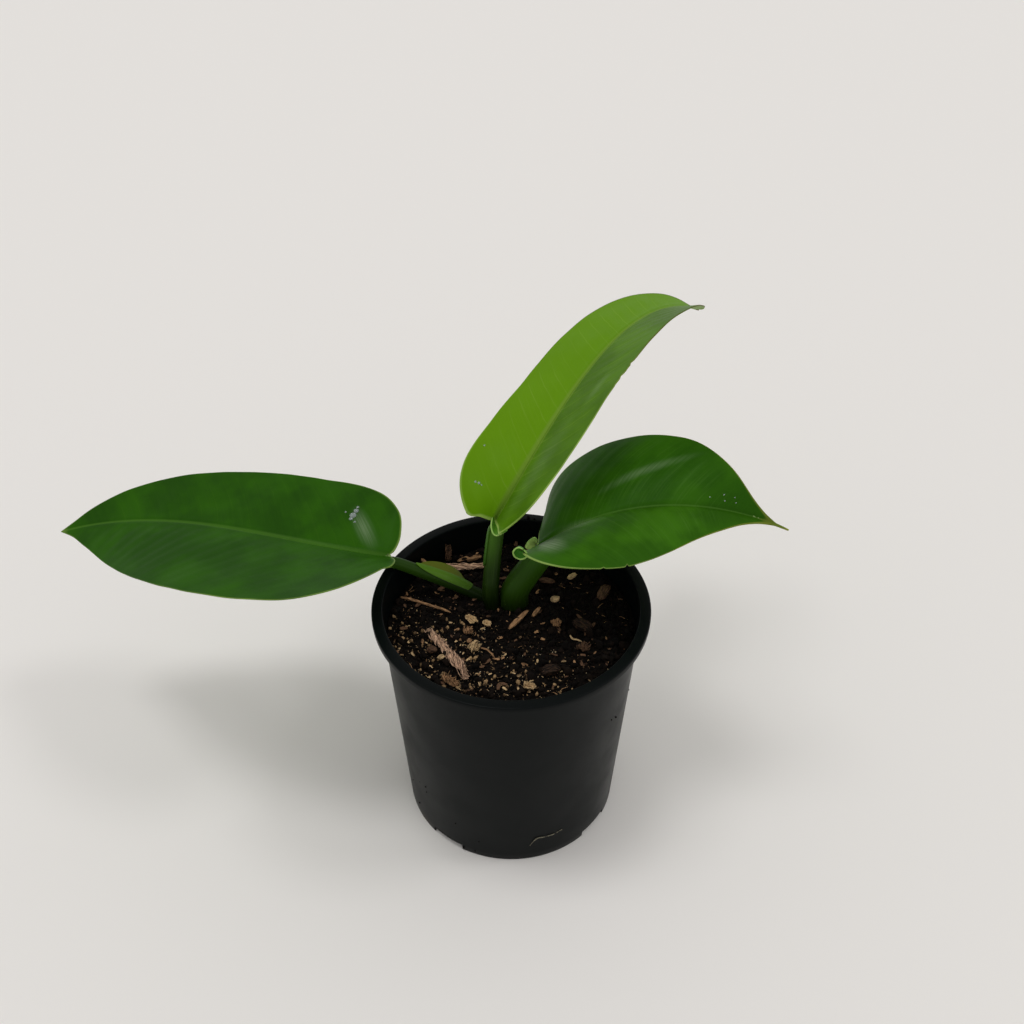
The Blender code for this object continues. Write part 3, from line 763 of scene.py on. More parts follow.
@dataclass(frozen=True)
class ClearWater(Finish):
    """Water drops on a leaf: the leaf shows through, and a share of pale colour is painted in as
    the glints that they catch.
    """

    name: str = "clear_water"
    roughness: float = 0.03
    ior: float = 1.33
    specular: float = 0.5
    clearness: float = 0.72
    painted_glint: str = "#dfe9ea"

    def dress(self, tree: Tree, shader: bpy.types.Node) -> None:
        """Mostly clear, with a share of pale colour painted in as a glint."""
        shader.inputs["Transmission Weight"].default_value = self.clearness
        # Painted glint: a pale diffuse share in place of light reflected by the drops.
        shader.inputs["Base Color"].default_value = paint(self.painted_glint)


@dataclass(frozen=True)
class StudioFloor(Finish):
    """Plain matt paper."""

    name: str = "matt_paper_floor"
    roughness: float = 0.9
    ior: float = 1.35
    body: str = "#efece9"

    def dress(self, tree: Tree, shader: bpy.types.Node) -> None:
        """One pale colour."""
        shader.inputs["Base Color"].default_value = paint(self.body)


POLYPROPYLENE = MouldedPolypropylene()
PEAT = PeatMix()
DARK_CRUMBS = LooseCrumbs("dark_peat_crumbs", "#040302", "#1b120c", roughness=0.95)
PALE_CRUMBS = LooseCrumbs("pale_bark_crumbs", "#33241a", "#bd9b70")
GRIT = LooseCrumbs("cream_grit", "#8a7458", "#e0cfae")
BARK = SplitFibre("brown_bark", "#120b07", "#6c503c")
FIBRE_BARK = SplitFibre("torn_pink_bark", "#1c100b", "#e2b99a")
STRAW = SplitFibre("tan_straw", "#38261a", "#ac845f")
HUSK = SplitFibre("cream_husk", "#3c2a1a", "#cdae82", fibre=0.6)
CORK = CorkyRoot("crown_cork", "#0c0a06", "#2b2718")
ROOT_SKIN = CorkyRoot("root_cream", "#7a6040", "#c8ac7c")
LIME = LooseCrumbs("dried_lime", "#4a473c", "#a8a28c")
WATER = ClearWater()


# ---------------------------------------------------------------- pieces in the model

def hand_over(piece: bpy.types.Object, slot: str, *nodes: str) -> None:
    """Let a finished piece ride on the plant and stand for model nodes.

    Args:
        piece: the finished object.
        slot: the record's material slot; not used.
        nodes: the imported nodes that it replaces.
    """
    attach(piece, BODY)
    if nodes:
        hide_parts(*nodes)
    LOG.info("%s: %d faces", piece.name, len(piece.data.polygons))


def dress(piece: bpy.types.Object, *finishes: Finish) -> None:
    """Give a piece its finishes, in the order of its material slots."""
    piece.data.materials.clear()
    for finish in finishes:
        piece.data.materials.append(finish.material())


# ---------------------------------------------------------------- the pot

@dataclass
class NurseryPot:
    """The injection-moulded pot: tapered wall, turned-down lip, recessed and drained foot."""

    foot_radius: float = 52.7
    lip_drop: float = 3.5
    lip_overhang: float = 4.3
    wall: float = 1.2
    foot_recess: float = 4.1
    floor: float = 1.5
    edge_round: float = 0.7
    notch_count: int = 4
    notch_width: float = 18.0
    notch_turn: float = -37.5
    hole_count: int = 8
    hole_radius: float = 3.0
    hole_ring: float = 38.0
    sides: int = 192
    gap: float = 0.3

    def outer(self, z: float) -> float:
        """Radius of the wall's outside at a height."""
        top = LIP_RADIUS - self.lip_overhang
        return self.foot_radius + (top - self.foot_radius) * z / (POT_HEIGHT - self.lip_drop)

    def inner(self, z: float) -> float:
        """Radius of the wall's inside at a height."""
        return self.outer(z) - self.wall

    def corner(self, radius: float, z: float, start: float, steps: int = 4) -> list:
        """A rounded edge of the profile: a quarter turn from an angle, centred at a point."""
        turns = [math.radians(start - 90 * i / steps) for i in range(steps + 1)]
        return [(radius + self.edge_round * math.cos(a), z + self.edge_round * math.sin(a))
                for a in turns]

    def profile(self) -> list:
        """Radius and height of each ring, from the floor's inside over the lip to underneath."""
        top, e, lip = POT_HEIGHT, self.edge_round, POT_HEIGHT - self.lip_drop
        level = self.foot_recess + self.floor
        under = top - self.wall
        rings = [(self.hole_ring * 0.4, level), (self.inner(level) - 2, level),
                 (self.inner(level) - 0.6, level + 0.5), (self.inner(level + 2), level + 2),
                 (self.inner(level + 4), level + 4), (self.inner(60), 60),
                 (self.inner(under - 3), under - 3), (self.inner(under - e), under - e)]
        rings += self.corner(self.inner(top) + e, top - e, 180)
        rings += self.corner(LIP_RADIUS - e, top - e, 90)
        rings += [(LIP_RADIUS, top - 2), (LIP_RADIUS - 0.1, lip + 0.2), (LIP_RADIUS - 0.3, lip),
                  (LIP_RADIUS - self.wall, lip), (LIP_RADIUS - self.wall, under),
                  (self.outer(under), under), (self.outer(lip), lip),
                  (self.outer(lip - 4), lip - 4), (self.outer(80), 80), (self.outer(40), 40),
                  (self.outer(5), 5), (self.outer(e), e), (self.foot_radius - 0.15, 0.15),
                  (self.foot_radius - e, 0), (self.foot_radius - self.wall, 0),
                  (self.foot_radius - self.wall, self.foot_recess),
                  (self.hole_ring * 0.4, self.foot_recess)]
        return rings

    def turn_shell(self) -> bpy.types.Object:
        """A circle extruded and scaled from ring to ring of the profile."""
        rings = self.profile()
        centre = tuple(placed([0, 0, 0]))
        deselect()
        bpy.ops.mesh.primitive_circle_add(vertices=self.sides, radius=rings[0][0] * MM,
                                          location=(centre[0], centre[1], rings[0][1] * MM))
        pot = named("pot_shell")
        bpy.ops.object.transform_apply(location=True)
        with editing(pot):
            for (r0, z0), (r1, z1) in zip(rings, rings[1:]):
                bpy.ops.mesh.extrude_edges_move(
                    TRANSFORM_OT_translate={"value": (0, 0, (z1 - z0) * MM)})
                bpy.ops.transform.resize(value=(r1 / r0, r1 / r0, 1), center_override=(
                    centre[0], centre[1], z1 * MM))
        close_up(pot)
        return pot

    def cut_with(self, pot: bpy.types.Object) -> None:
        """Cut with the object that was just added, and drop it."""
        cutter = bpy.context.object
        bpy.ops.object.transform_apply(location=True, rotation=True, scale=True)
        apply(pot, "BOOLEAN", operation="DIFFERENCE", solver="EXACT", object=cutter)
        bpy.data.objects.remove(cutter, do_unlink=True)

    def build(self) -> None:
        """Turn the shell, cut its notches and drain holes, and dress it."""
        pot = self.turn_shell()
        for i in range(self.notch_count):
            turn = math.radians(self.notch_turn + 360 / self.notch_count * i)
            out = self.foot_radius - self.wall / 2
            deselect()
            bpy.ops.mesh.primitive_cube_add(
                size=1, rotation=(0, 0, turn),
                location=tuple(placed([out * math.sin(turn), -out * math.cos(turn), 0])),
                scale=(self.notch_width * MM, 4 * self.wall * MM,
                       2 * (self.foot_recess - self.gap) * MM))
            self.cut_with(pot)
        for i in range(self.hole_count):
            turn = math.tau / self.hole_count * (i + 0.3)
            place = placed([self.hole_ring * math.sin(turn), -self.hole_ring * math.cos(turn),
                            self.foot_recess + self.floor / 2])
            deselect()
            bpy.ops.mesh.primitive_cylinder_add(vertices=32, radius=self.hole_radius * MM,
                                                depth=4 * self.floor * MM, location=tuple(place))
            self.cut_with(pot)
        smooth(pot, 35)
        dress(pot, POLYPROPYLENE)
        hand_over(pot, "black_polypropylene", "nursery_pot")


@dataclass
class PotMarks:
    """Crumbs of soil stuck to the pot, and a pale streak of dried lime near its foot.

    Args:
        crumbs: for each one, its angle from the front, its height and its size.
        streak: points of the streak, in millimetres about the pot's foot.
    """

    pot: NurseryPot
    crumbs: tuple = ((57.6, 82.5, 1.0), (53.3, 85.0, 0.8), (-49.8, 35.8, 0.9), (-49.7, 31.6, 0.7),
                     (-30.4, 21.5, 0.8), (-17.4, 12.7, 0.7), (77.9, 80.4, 0.7), (-55.5, 34.0, 0.5),
                     (-26.8, 2.5, 1.2), (-61.0, 10.3, 1.0), (-20.0, 3.0, 0.8), (-66.0, 24.0, 0.6),
                     (172.0, 128.0, 1.8), (169.0, 127.4, 1.0))
    streak: tuple = ((9.2, -52.9, 12.2), (11.1, -53.0, 16.0), (13.0, -52.6, 17.8),
                     (16.5, -51.6, 17.5), (21.0, -49.8, 17.3), (25.0, -47.9, 18.4))
    streak_radius: float = 0.35

    def build(self) -> None:
        """Stick the crumbs on, and lay the streak as an uneven thread."""
        pieces = []
        for turn, height, size in self.crumbs:
            a, r = math.radians(turn), self.pot.outer(height)
            deselect()
            bpy.ops.mesh.primitive_ico_sphere_add(subdivisions=2, radius=0.5)
            piece = named("pot_crumbs")
            points = read_points(piece) * size
            points *= 1 + 0.3 * roughness_at(points, 0.5, 2, turn)[:, None]
            write_points(piece, placed(points + (r * math.sin(a), -r * math.cos(a), height)))
            pieces.append(piece)
        crumbs = join(pieces)
        note(crumbs, "tint", np.full(len(crumbs.data.vertices), 0.2))
        smooth(crumbs, 60)
        dress(crumbs, DARK_CRUMBS)
        hand_over(crumbs, "potting_mix")

        def reach(u: Array, v: Array) -> Array:
            """The thread's radius, lumpy along it."""
            lumps = roughness_at(np.stack([14 * u, 0 * u, 0 * u], 1), 1.0, 2, 5.0)
            return self.streak_radius * np.clip(0.6 + 0.9 * lumps, 0.08, 1.4)

        streak = tube("lime_streak", through(self.streak, 40), reach, 8, 90)
        note(streak, "tint", np.full(len(streak.data.vertices), 0.3))
        smooth(streak, 70)
        dress(streak, LIME)
        hand_over(streak, "husk")


# ---------------------------------------------------------------- the potting mix

STEM_PLACE = (-3.0, 17.0)
SLUMP_PLACE = (-32.7, 36.9)


@dataclass
class PottingMix:
    """Peat mix: an uneven bed, thousands of crumbs, and hundreds of paler flecks and shreds.

    Args:
        mound: height and spread of the rise at the crown, in millimetres.
        slump: depth and spread of the hollow at the back left.
        wave: height of its gentle waves.
        lump: height of its lumps, each about lump_size across.
        cells: faces along each side of its grid.
    """

    pot: NurseryPot
    depth_below_rim: float = 15.2
    bed_depth: float = 20.0
    mound: tuple = (1.2, 15.0)
    slump: tuple = (2.5, 13.0)
    wave: float = 0.7
    lump: float = 0.9
    lump_size: float = 9.0
    cells: int = 190
    seed: int = 11

    def level(self) -> float:
        """Height of the bed before its hills and hollows."""
        return POT_HEIGHT - self.depth_below_rim

    def rim(self) -> float:
        """Radius of the bed."""
        return self.pot.inner(self.level()) - self.pot.gap

    def smooth_height(self, x: Array, y: Array) -> Array:
        """Mounded at the crown, slumped at the back left, gently uneven.

        Args:
            x: places to the right, in millimetres.
            y: places to the back.
        """
        def bump(middle: tuple, spread: float) -> Array:
            """A round hill, 1 at its middle."""
            return np.exp(-((x - middle[0]) ** 2 + (y - middle[1]) ** 2) / (2 * spread ** 2))
        rise, drop = self.mound, self.slump
        return (self.level() + rise[0] * bump(STEM_PLACE, rise[1])
                - drop[0] * bump(SLUMP_PLACE, drop[1])
                + self.wave * np.sin(x / 9 + 0.6) * np.sin(y / 8 + 1.1))

    def height(self, x: Array, y: Array) -> Array:
        """The bed's own surface, with lumps and pits."""
        flat = np.stack([x, y, 0 * x], 1)
        coarse = roughness_at(flat, self.lump_size, 4, 3.1)
        return self.smooth_height(x, y) + self.lump * coarse - 0.5

    def build_bed(self) -> None:
        """A fine grid drawn to a disc, raised to the surface, with its side turned down."""
        piece, u, v = add_grid("mix_bed", self.cells, self.cells)
        a, b = 2 * u - 1, 2 * v - 1
        x = a * np.sqrt(1 - b * b / 2) * self.rim()
        y = b * np.sqrt(1 - a * a / 2) * self.rim()
        write_points(piece, placed(np.stack([x, y, self.height(x, y)], 1)))
        low = (self.level() - self.bed_depth) * MM
        with editing(piece):
            bpy.ops.mesh.select_all(action="DESELECT")
            bpy.ops.mesh.select_non_manifold()
            bpy.ops.mesh.extrude_edges_move(
                TRANSFORM_OT_translate={"value": (0, 0, -self.bed_depth * MM)})
            bpy.ops.transform.resize(value=(0.97, 0.97, 0), center_override=(
                POT_PLACE[0], POT_PLACE[1], low))
            bpy.ops.mesh.edge_face_add()
            bpy.ops.mesh.select_all(action="SELECT")
            bpy.ops.mesh.normals_make_consistent(inside=False)
        smooth(piece, 80)
        dress(piece, PEAT)
        hand_over(piece, "potting_mix", "potting_mix")

    def spots(self, rng: np.random.Generator, count: int, edge: float, front: float) -> Array:
        """Random places on the bed.

        Args:
            rng: the random numbers.
            count: how many places.
            edge: how far they keep from the pot's wall, in millimetres.
            front: how strongly they crowd towards the front left.

        Returns:
            The places, one in each row.
        """
        many = count * 6
        r = (self.rim() - edge) * np.sqrt(rng.random(many))
        a = rng.random(many) * math.tau
        places = np.stack([r * np.cos(a), r * np.sin(a)], 1)
        near = np.clip(0.5 - (places[:, 0] * 0.5 + places[:, 1]) / self.rim() / 2, 0.02, 1)
        liking = near ** front * rng.random(many)
        return places[np.argsort(-liking)[:count]] if front else places[:count]

    def build_loose(self) -> None:
        """Scatter the crumbs, clods, flecks, grit and shreds."""
        rng = np.random.default_rng(self.seed)
        crumb, clod = Prototype.pebble(1, rng), Prototype.pebble(2, rng)
        fleck, shred = Prototype.fleck(rng), Prototype.shred(rng)
        kinds = (
            Scatter("dark_crumbs", DARK_CRUMBS, "potting_mix", crumb, 5600, (0.6, 2.4), 0.35, 2.2),
            Scatter("dark_clods", DARK_CRUMBS, "potting_mix", clod, 420, (2.2, 5.2), 0.30, 1.6),
            Scatter("tan_crumbs", PALE_CRUMBS, "bark", crumb, 760, (0.4, 1.4), 0.45, 2.4,
                    front=0.7),
            Scatter("front_crumbs", PALE_CRUMBS, "bark", clod, 190, (1.0, 2.5), 0.5, 1.6,
                    front=2.0),
            Scatter("cream_grit", GRIT, "husk", crumb, 330, (0.3, 1.1), 0.55, 1.8,
                    front=0.9),
            Scatter("cream_curls", HUSK, "husk", fleck, 120, (1.0, 3.0), 0.8, 1.5, front=1.2),
            Scatter("bark_flecks", BARK, "bark", fleck, 140, (1.4, 4.2), 0.6, 1.8),
            Scatter("straw_flecks", STRAW, "straw", fleck, 90, (1.0, 3.2), 0.7, 1.8),
            Scatter("straw_shreds", STRAW, "straw", shred, 70, (1.6, 5.0), 0.8, 1.6),
        )
        for kind in kinds:
            kind.build(self, rng)


@dataclass
class Prototype:
    """One small shape, modelled once and copied: its vertices, faces and grain."""

    points: Array
    faces: list
    grain: Array
    flat: bool

    @staticmethod
    def take(piece: bpy.types.Object, flat: bool) -> "Prototype":
        """Read a modelled object, and drop it."""
        points = read_points(piece)
        faces = [tuple(face.vertices) for face in piece.data.polygons]
        bpy.data.objects.remove(piece, do_unlink=True)
        return Prototype(points, faces, points * 10, flat)

    @staticmethod
    def pebble(fineness: int, rng: np.random.Generator) -> "Prototype":
        """A lumpy crumb about 1 across.

        Args:
            fineness: how finely the ball is divided.
            rng: the random numbers.
        """
        deselect()
        bpy.ops.mesh.primitive_ico_sphere_add(subdivisions=fineness, radius=0.5)
        piece = named("pebble")
        points = read_points(piece)
        write_points(piece, points * (1 + 0.5 * (rng.random((len(points), 1)) - 0.5)))
        return Prototype.take(piece, False)

    @staticmethod
    def fleck(rng: np.random.Generator) -> "Prototype":
        """A thin curled flake about 1 long.

        Args:
            rng: the random numbers.
        """
        piece, u, v = add_grid("fleck", 4, 3)
        x, y = u - 0.5, (v - 0.5) * (0.5 - 0.28 * (2 * u - 1) ** 2)
        z = 0.25 * x ** 2 + 0.9 * y ** 2
        points = np.stack([x, y, z], 1) + 0.03 * rng.standard_normal((len(x), 3))
        write_points(piece, points)
        apply(piece, "SOLIDIFY", thickness=0.07, offset=0)
        return Prototype.take(piece, True)

    @staticmethod
    def shred(rng: np.random.Generator) -> "Prototype":
        """A bent, frayed fibre about 1 long.

        Args:
            rng: the random numbers.
        """
        piece, u, v = add_grid("shred", 6, 5)
        turn, r = v * math.tau, 0.035 * (1 - 0.6 * np.abs(2 * u - 1) ** 3)
        x = u - 0.5
        y = 0.10 * np.sin(3 * u) + np.cos(turn) * r
        z = 0.05 * np.cos(4 * u) + np.sin(turn) * r * 0.6
        write_points(piece, np.stack([x, y, z], 1))
        close_up(piece)
        return Prototype.take(piece, True)


@dataclass
class Scatter:
    """Many copies of one small shape lying on the bed, joined as one piece.

    Args:
        sizes: smallest and largest size in millimetres.
        lift: how far above the bed a copy's middle lies, as a share of its size.
        skew: how strongly the small ones outnumber the large.
        front: how strongly they crowd towards the front left.
    """

    name: str
    finish: Finish
    slot: str
    shape: Prototype
    count: int
    sizes: tuple[float, float]
    lift: float
    skew: float
    front: float = 0.0
    aspect: tuple = (1.0, 0.8, 0.7)
    edge: float = 1.0

    def build(self, bed: PottingMix, rng: np.random.Generator) -> None:
        """Place, turn and size every copy, and join them.

        Args:
            bed: the mix that it lies on.
            rng: the random numbers.
        """
        n, shape = self.count, self.shape
        spots = bed.spots(rng, n, self.edge, self.front)
        low, high = self.sizes
        size = low + (high - low) * rng.random(n) ** self.skew
        stretch = np.ones(3) if shape.flat else np.array(self.aspect)
        tilt = 0.35 if shape.flat else math.pi
        turns = turned(rng, n, tilt)
        points = np.einsum("nij,vj->nvi", turns, shape.points * stretch) * size[:, None, None]
        lift = self.lift * size * (0.35 if shape.flat else 0.6)
        z = bed.height(spots[:, 0], spots[:, 1]) + lift
        points = points + np.column_stack([spots, z])[:, None, :]
        step = len(shape.points)
        faces = [tuple(i + k * step for i in face) for k in range(n) for face in shape.faces]
        mesh = bpy.data.meshes.new(self.name)
        mesh.from_pydata(placed(points.reshape(-1, 3)), [], faces)
        piece = bpy.data.objects.new(self.name, mesh)
        bpy.context.scene.collection.objects.link(piece)
        note(piece, "tint", np.repeat(rng.random(n) * 0.8, step))
        run = shape.grain[None] * size[:, None, None] * 0.1 + 9 * rng.random((n, 1, 3))
        note(piece, "grain", run.reshape(-1, 3))
        smooth(piece, 50)
        dress(piece, self.finish)
        hand_over(piece, self.slot)


def turned(rng: np.random.Generator, count: int, tilt: float) -> Array:
    """Random rotations.

    Args:
        rng: the random numbers.
        count: how many.
        tilt: the most that each one leans, in radians. Its heading is free.

    Returns:
        A matrix for each.
    """
    a, b = rng.random(count) * math.tau, (rng.random(count) * 2 - 1) * tilt
    c = (rng.random(count) * 2 - 1) * tilt
    one, nil = np.ones(count), np.zeros(count)
    rz = np.array([[np.cos(a), -np.sin(a), nil], [np.sin(a), np.cos(a), nil], [nil, nil, one]])
    ry = np.array([[np.cos(b), nil, np.sin(b)], [nil, one, nil], [-np.sin(b), nil, np.cos(b)]])
    rx = np.array([[one, nil, nil], [nil, np.cos(c), -np.sin(c)], [nil, np.sin(c), np.cos(c)]])
    return np.einsum("ijn,jkn,kln->nil", rz, ry, rx)


# ---------------------------------------------------------------- the larger litter

def middle_of(node: str) -> Array:
    """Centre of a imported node's box, in millimetres about the pot's foot."""
    low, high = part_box(node)
    return (np.array((low + high) / 2) - POT_PLACE) / MM


@dataclass
class Twig:
    """A thin stick or fibre lying on the bed between two ends.

    Args:
        sway: how far its middle lies to one side, in millimetres.
        rise: how far each end stands above the bed, where it leans on the wall.
        lift: how far its underside lies above the bed's smooth height.
        wave: how far it bends up and down.
    """

    node: str
    ends: tuple
    radius: float
    finish: Finish
    slot: str
    sway: float = 0.0
    seed: float = 1.0
    rise: tuple = (0.0, 0.0)
    lift: float = 0.9
    wave: float = 0.5

    def build(self, bed: PottingMix) -> None:
        """A knobbly tube, thinner at both ends.

        Args:
            bed: the mix that it lies on.
        """
        a, b = np.array(self.ends[0], float), np.array(self.ends[1], float)
        across = np.array([-(b - a)[1], (b - a)[0]])
        across /= np.linalg.norm(across)
        t = np.linspace(0, 1, 24)[:, None]
        flat = a + (b - a) * t + across * self.sway * np.sin(math.pi * t)
        z = bed.smooth_height(flat[:, 0], flat[:, 1]) + self.radius + self.lift
        z = z + self.wave * np.sin(7 * t[:, 0] + self.seed) + np.interp(t[:, 0], (0, 1), self.rise)
        path = np.column_stack([flat, z])

        def reach(u: Array, v: Array) -> Array:
            """The stick's radius, knobbly and tapered."""
            ring = np.stack([9 * u, np.cos(v * math.tau), np.sin(v * math.tau)], 1)
            knots = roughness_at(ring, 1.0, 2, self.seed)
            ends = np.clip(1 - np.abs(2 * u - 1) ** 9, 0.02, 1) * (1 - 0.25 * u)
            return self.radius * ends * (1 + 0.28 * knots)

        piece = tube("litter_" + self.node, path, reach, 12, 48)
        note(piece, "tint", np.full(len(piece.data.vertices), 0.25))
        smooth(piece, 70)
        dress(piece, self.finish)
        hand_over(piece, self.slot, self.node)


@dataclass
class FibreStrip:
    """Torn bark or husk: a thin backing under many curled fibres that run along it.

    Args:
        line: points along it, in millimetres about the pot's foot.
        thickness: of its backing.
        curl: how far the fibres loop to either side, in millimetres.
        packed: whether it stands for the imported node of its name.
        rise: how far each end stands above the bed, where it leans on the wall.
        lift: how far its backing lies above the bed's smooth height.
        thin, spread: the least radius of a fibre, and how much more the thickest has.
    """

    node: str
    line: tuple
    width: float
    fibres: int
    finish: Finish
    slot: str
    thickness: float = 0.5
    seed: int = 5
    curl: float = 0.0
    packed: bool = True
    rise: tuple = (0.0, 0.0)
    lift: float = 1.3
    thin: float = 0.13
    spread: float = 0.24
    steps: int = 40

    def build(self, bed: PottingMix) -> None:
        """Lay the fibres side by side along the line, and join them to the backing.

        Args:
            bed: the mix that it lies on.
        """
        rng = np.random.default_rng(self.seed)
        flat = through(self.line, self.steps)
        z = bed.smooth_height(*flat.T) + self.lift + np.linspace(*self.rise, self.steps)
        path = np.column_stack([flat, z])
        ahead = np.gradient(path, axis=0)
        across = np.stack([-ahead[:, 1], ahead[:, 0], 0 * z], 1)
        across /= np.linalg.norm(across, axis=1)[:, None]
        piece, u, v = add_grid("litter_" + self.node, 60, 10)
        wide = self.width * (0.34 - 0.2 * (2 * u - 1) ** 2)
        torn = 0.5 * roughness_at(np.stack([20 * u, 3 * v, 0 * u], 1), 1.0, 3, 2.0)
        points = (along_table(u, path) + along_table(u, across)
                  * ((2 * v - 1) * wide + torn)[:, None])
        points[:, 2] += 0.35 * torn
        write_points(piece, placed(points))
        note(piece, "grain", np.stack([u * 40, v * self.width, 0 * u], 1))
        apply(piece, "SOLIDIFY", thickness=self.thickness * MM, offset=-1)
        parts = [piece]
        for _ in range(self.fibres):
            start, length = rng.random() * 0.7, 0.15 + 0.3 * rng.random()
            share = np.clip(np.linspace(start, start + length, 10), 0, 1)
            shift = (rng.random() - 0.5) * self.width * 0.85
            drift = (rng.random() - 0.5) * 1.2 * np.linspace(-1, 1, 10)
            run = along_table(share, path) + along_table(share, across) * (shift + drift)[:, None]
            turn = np.linspace(0, 3 + 6 * rng.random(), 10) + 9 * rng.random()
            run += along_table(share, across) * (self.curl * np.cos(turn))[:, None]
            run[:, 2] += 0.25 + 0.6 * rng.random() + (0.25 + 0.6 * self.curl) * np.sin(turn)
            thick = self.thin + self.spread * rng.random()
            parts.append(tube("fibre", run, lambda u, v: thick * (1 - 0.9 * (2 * u - 1) ** 6),
                              6, 9))
        join(parts)
        note(piece, "tint", 0.15 + 0.65 * roughness_at(read_points(piece) / MM, 0.9, 2, 4.0))
        face_out(piece)
        smooth(piece, 60)
        dress(piece, self.finish)
        hand_over(piece, self.slot, *([self.node] if self.packed else []))


class ChipKind(Enum):
    """How a loose chip is shaped."""

    SPLIT = "split"
    CUPPED = "cupped"
    ROUND = "round"


@dataclass
class Chip:
    """A loose chip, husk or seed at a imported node's place.

    Args:
        size: its length, width and thickness, in millimetres.
        heading: its turn about the vertical, in degrees.
        tint: how pale it is within its finish.
        lean: how far one end is raised, in degrees.
        shell: the thickness of a cupped one.
        lift: how far it lies above its node's place.
    """

    node: str
    kind: ChipKind
    size: tuple
    heading: float
    finish: Finish
    slot: str
    tint: float = 0.2
    lean: float = 0.0
    seed: float = 1.0
    shell: float = 0.35
    lift: float = 0.5

    def shaped(self) -> tuple[bpy.types.Object, Array]:
        """Model the chip about its own middle.

        Returns:
            The object, and where its vertices go, in millimetres.
        """
        name = "litter_" + self.node
        length, width, thick = self.size
        if self.kind is ChipKind.CUPPED:
            piece, u, v = add_grid(name, 28, 22)
            a, b = 2 * u - 1, 2 * v - 1
            y = b * np.sqrt(np.clip(1 - a * a, 0, 1))
            out = np.hypot(a, y)
            way = np.stack([a, y, 0 * a], 1)
            ragged = 1 + 0.4 * out * roughness_at(way, 0.6, 3, self.seed)
            frill = roughness_at(way, 0.35, 3, self.seed + 5)
            z = (1.7 * out ** 2 - 0.6 + 0.55 * frill) * thick
            write_points(piece, np.stack([a * ragged * length / 2, y * ragged * width / 2, z], 1))
            with editing(piece):
                bpy.ops.mesh.remove_doubles(threshold=MERGE)
            apply(piece, "SOLIDIFY", thickness=self.shell, offset=0)
            return piece, read_points(piece)
        deselect()
        if self.kind is ChipKind.ROUND:
            bpy.ops.mesh.primitive_ico_sphere_add(subdivisions=4, radius=0.5)
            piece = named(name)
        else:
            bpy.ops.mesh.primitive_cube_add(size=1)
            piece = named(name)
            with editing(piece):
                bpy.ops.mesh.subdivide(number_cuts=11)
        points = read_points(piece)
        if self.kind is ChipKind.SPLIT:
            ridges = roughness_at(points * (2.0, 9.0, 3.0), 1.0, 3, self.seed)
            ragged = roughness_at(points * (0.0, 8.0, 8.0), 1.0, 2, self.seed + 3)
            taper = 1 - 0.45 * np.abs(2 * points[:, 0]) ** 3
            points[:, 1] *= taper
            points[:, 2] = points[:, 2] * taper + 0.18 * ridges
            points[:, 0] *= 1 + 0.25 * ragged
        else:
            points *= 1 + 0.22 * roughness_at(points, 0.45, 3, self.seed)[:, None]
        return piece, points * (length, width, thick)

    def build(self, bed: PottingMix) -> None:
        """Shape the chip, lean and turn it, and lay it on the bed at its node's place.

        Args:
            bed: the mix that it lies on.
        """
        piece, points = self.shaped()
        run = points.copy()
        lean, turn = math.radians(self.lean), math.radians(self.heading)
        x, y, z = points.T
        x, z = x * math.cos(lean) - z * math.sin(lean), x * math.sin(lean) + z * math.cos(lean)
        x, y = x * math.cos(turn) - y * math.sin(turn), x * math.sin(turn) + y * math.cos(turn)
        spot = middle_of(self.node)
        spot[2] = max(spot[2], bed.smooth_height(*spot[:2]) + 0.3 * self.size[2]) + self.lift
        write_points(piece, placed(np.stack([x, y, z], 1) + spot))
        note(piece, "grain", run)
        note(piece, "tint", np.full(len(run), self.tint))
        face_out(piece)
        smooth(piece, 55)
        dress(piece, self.finish)
        hand_over(piece, self.slot, self.node)


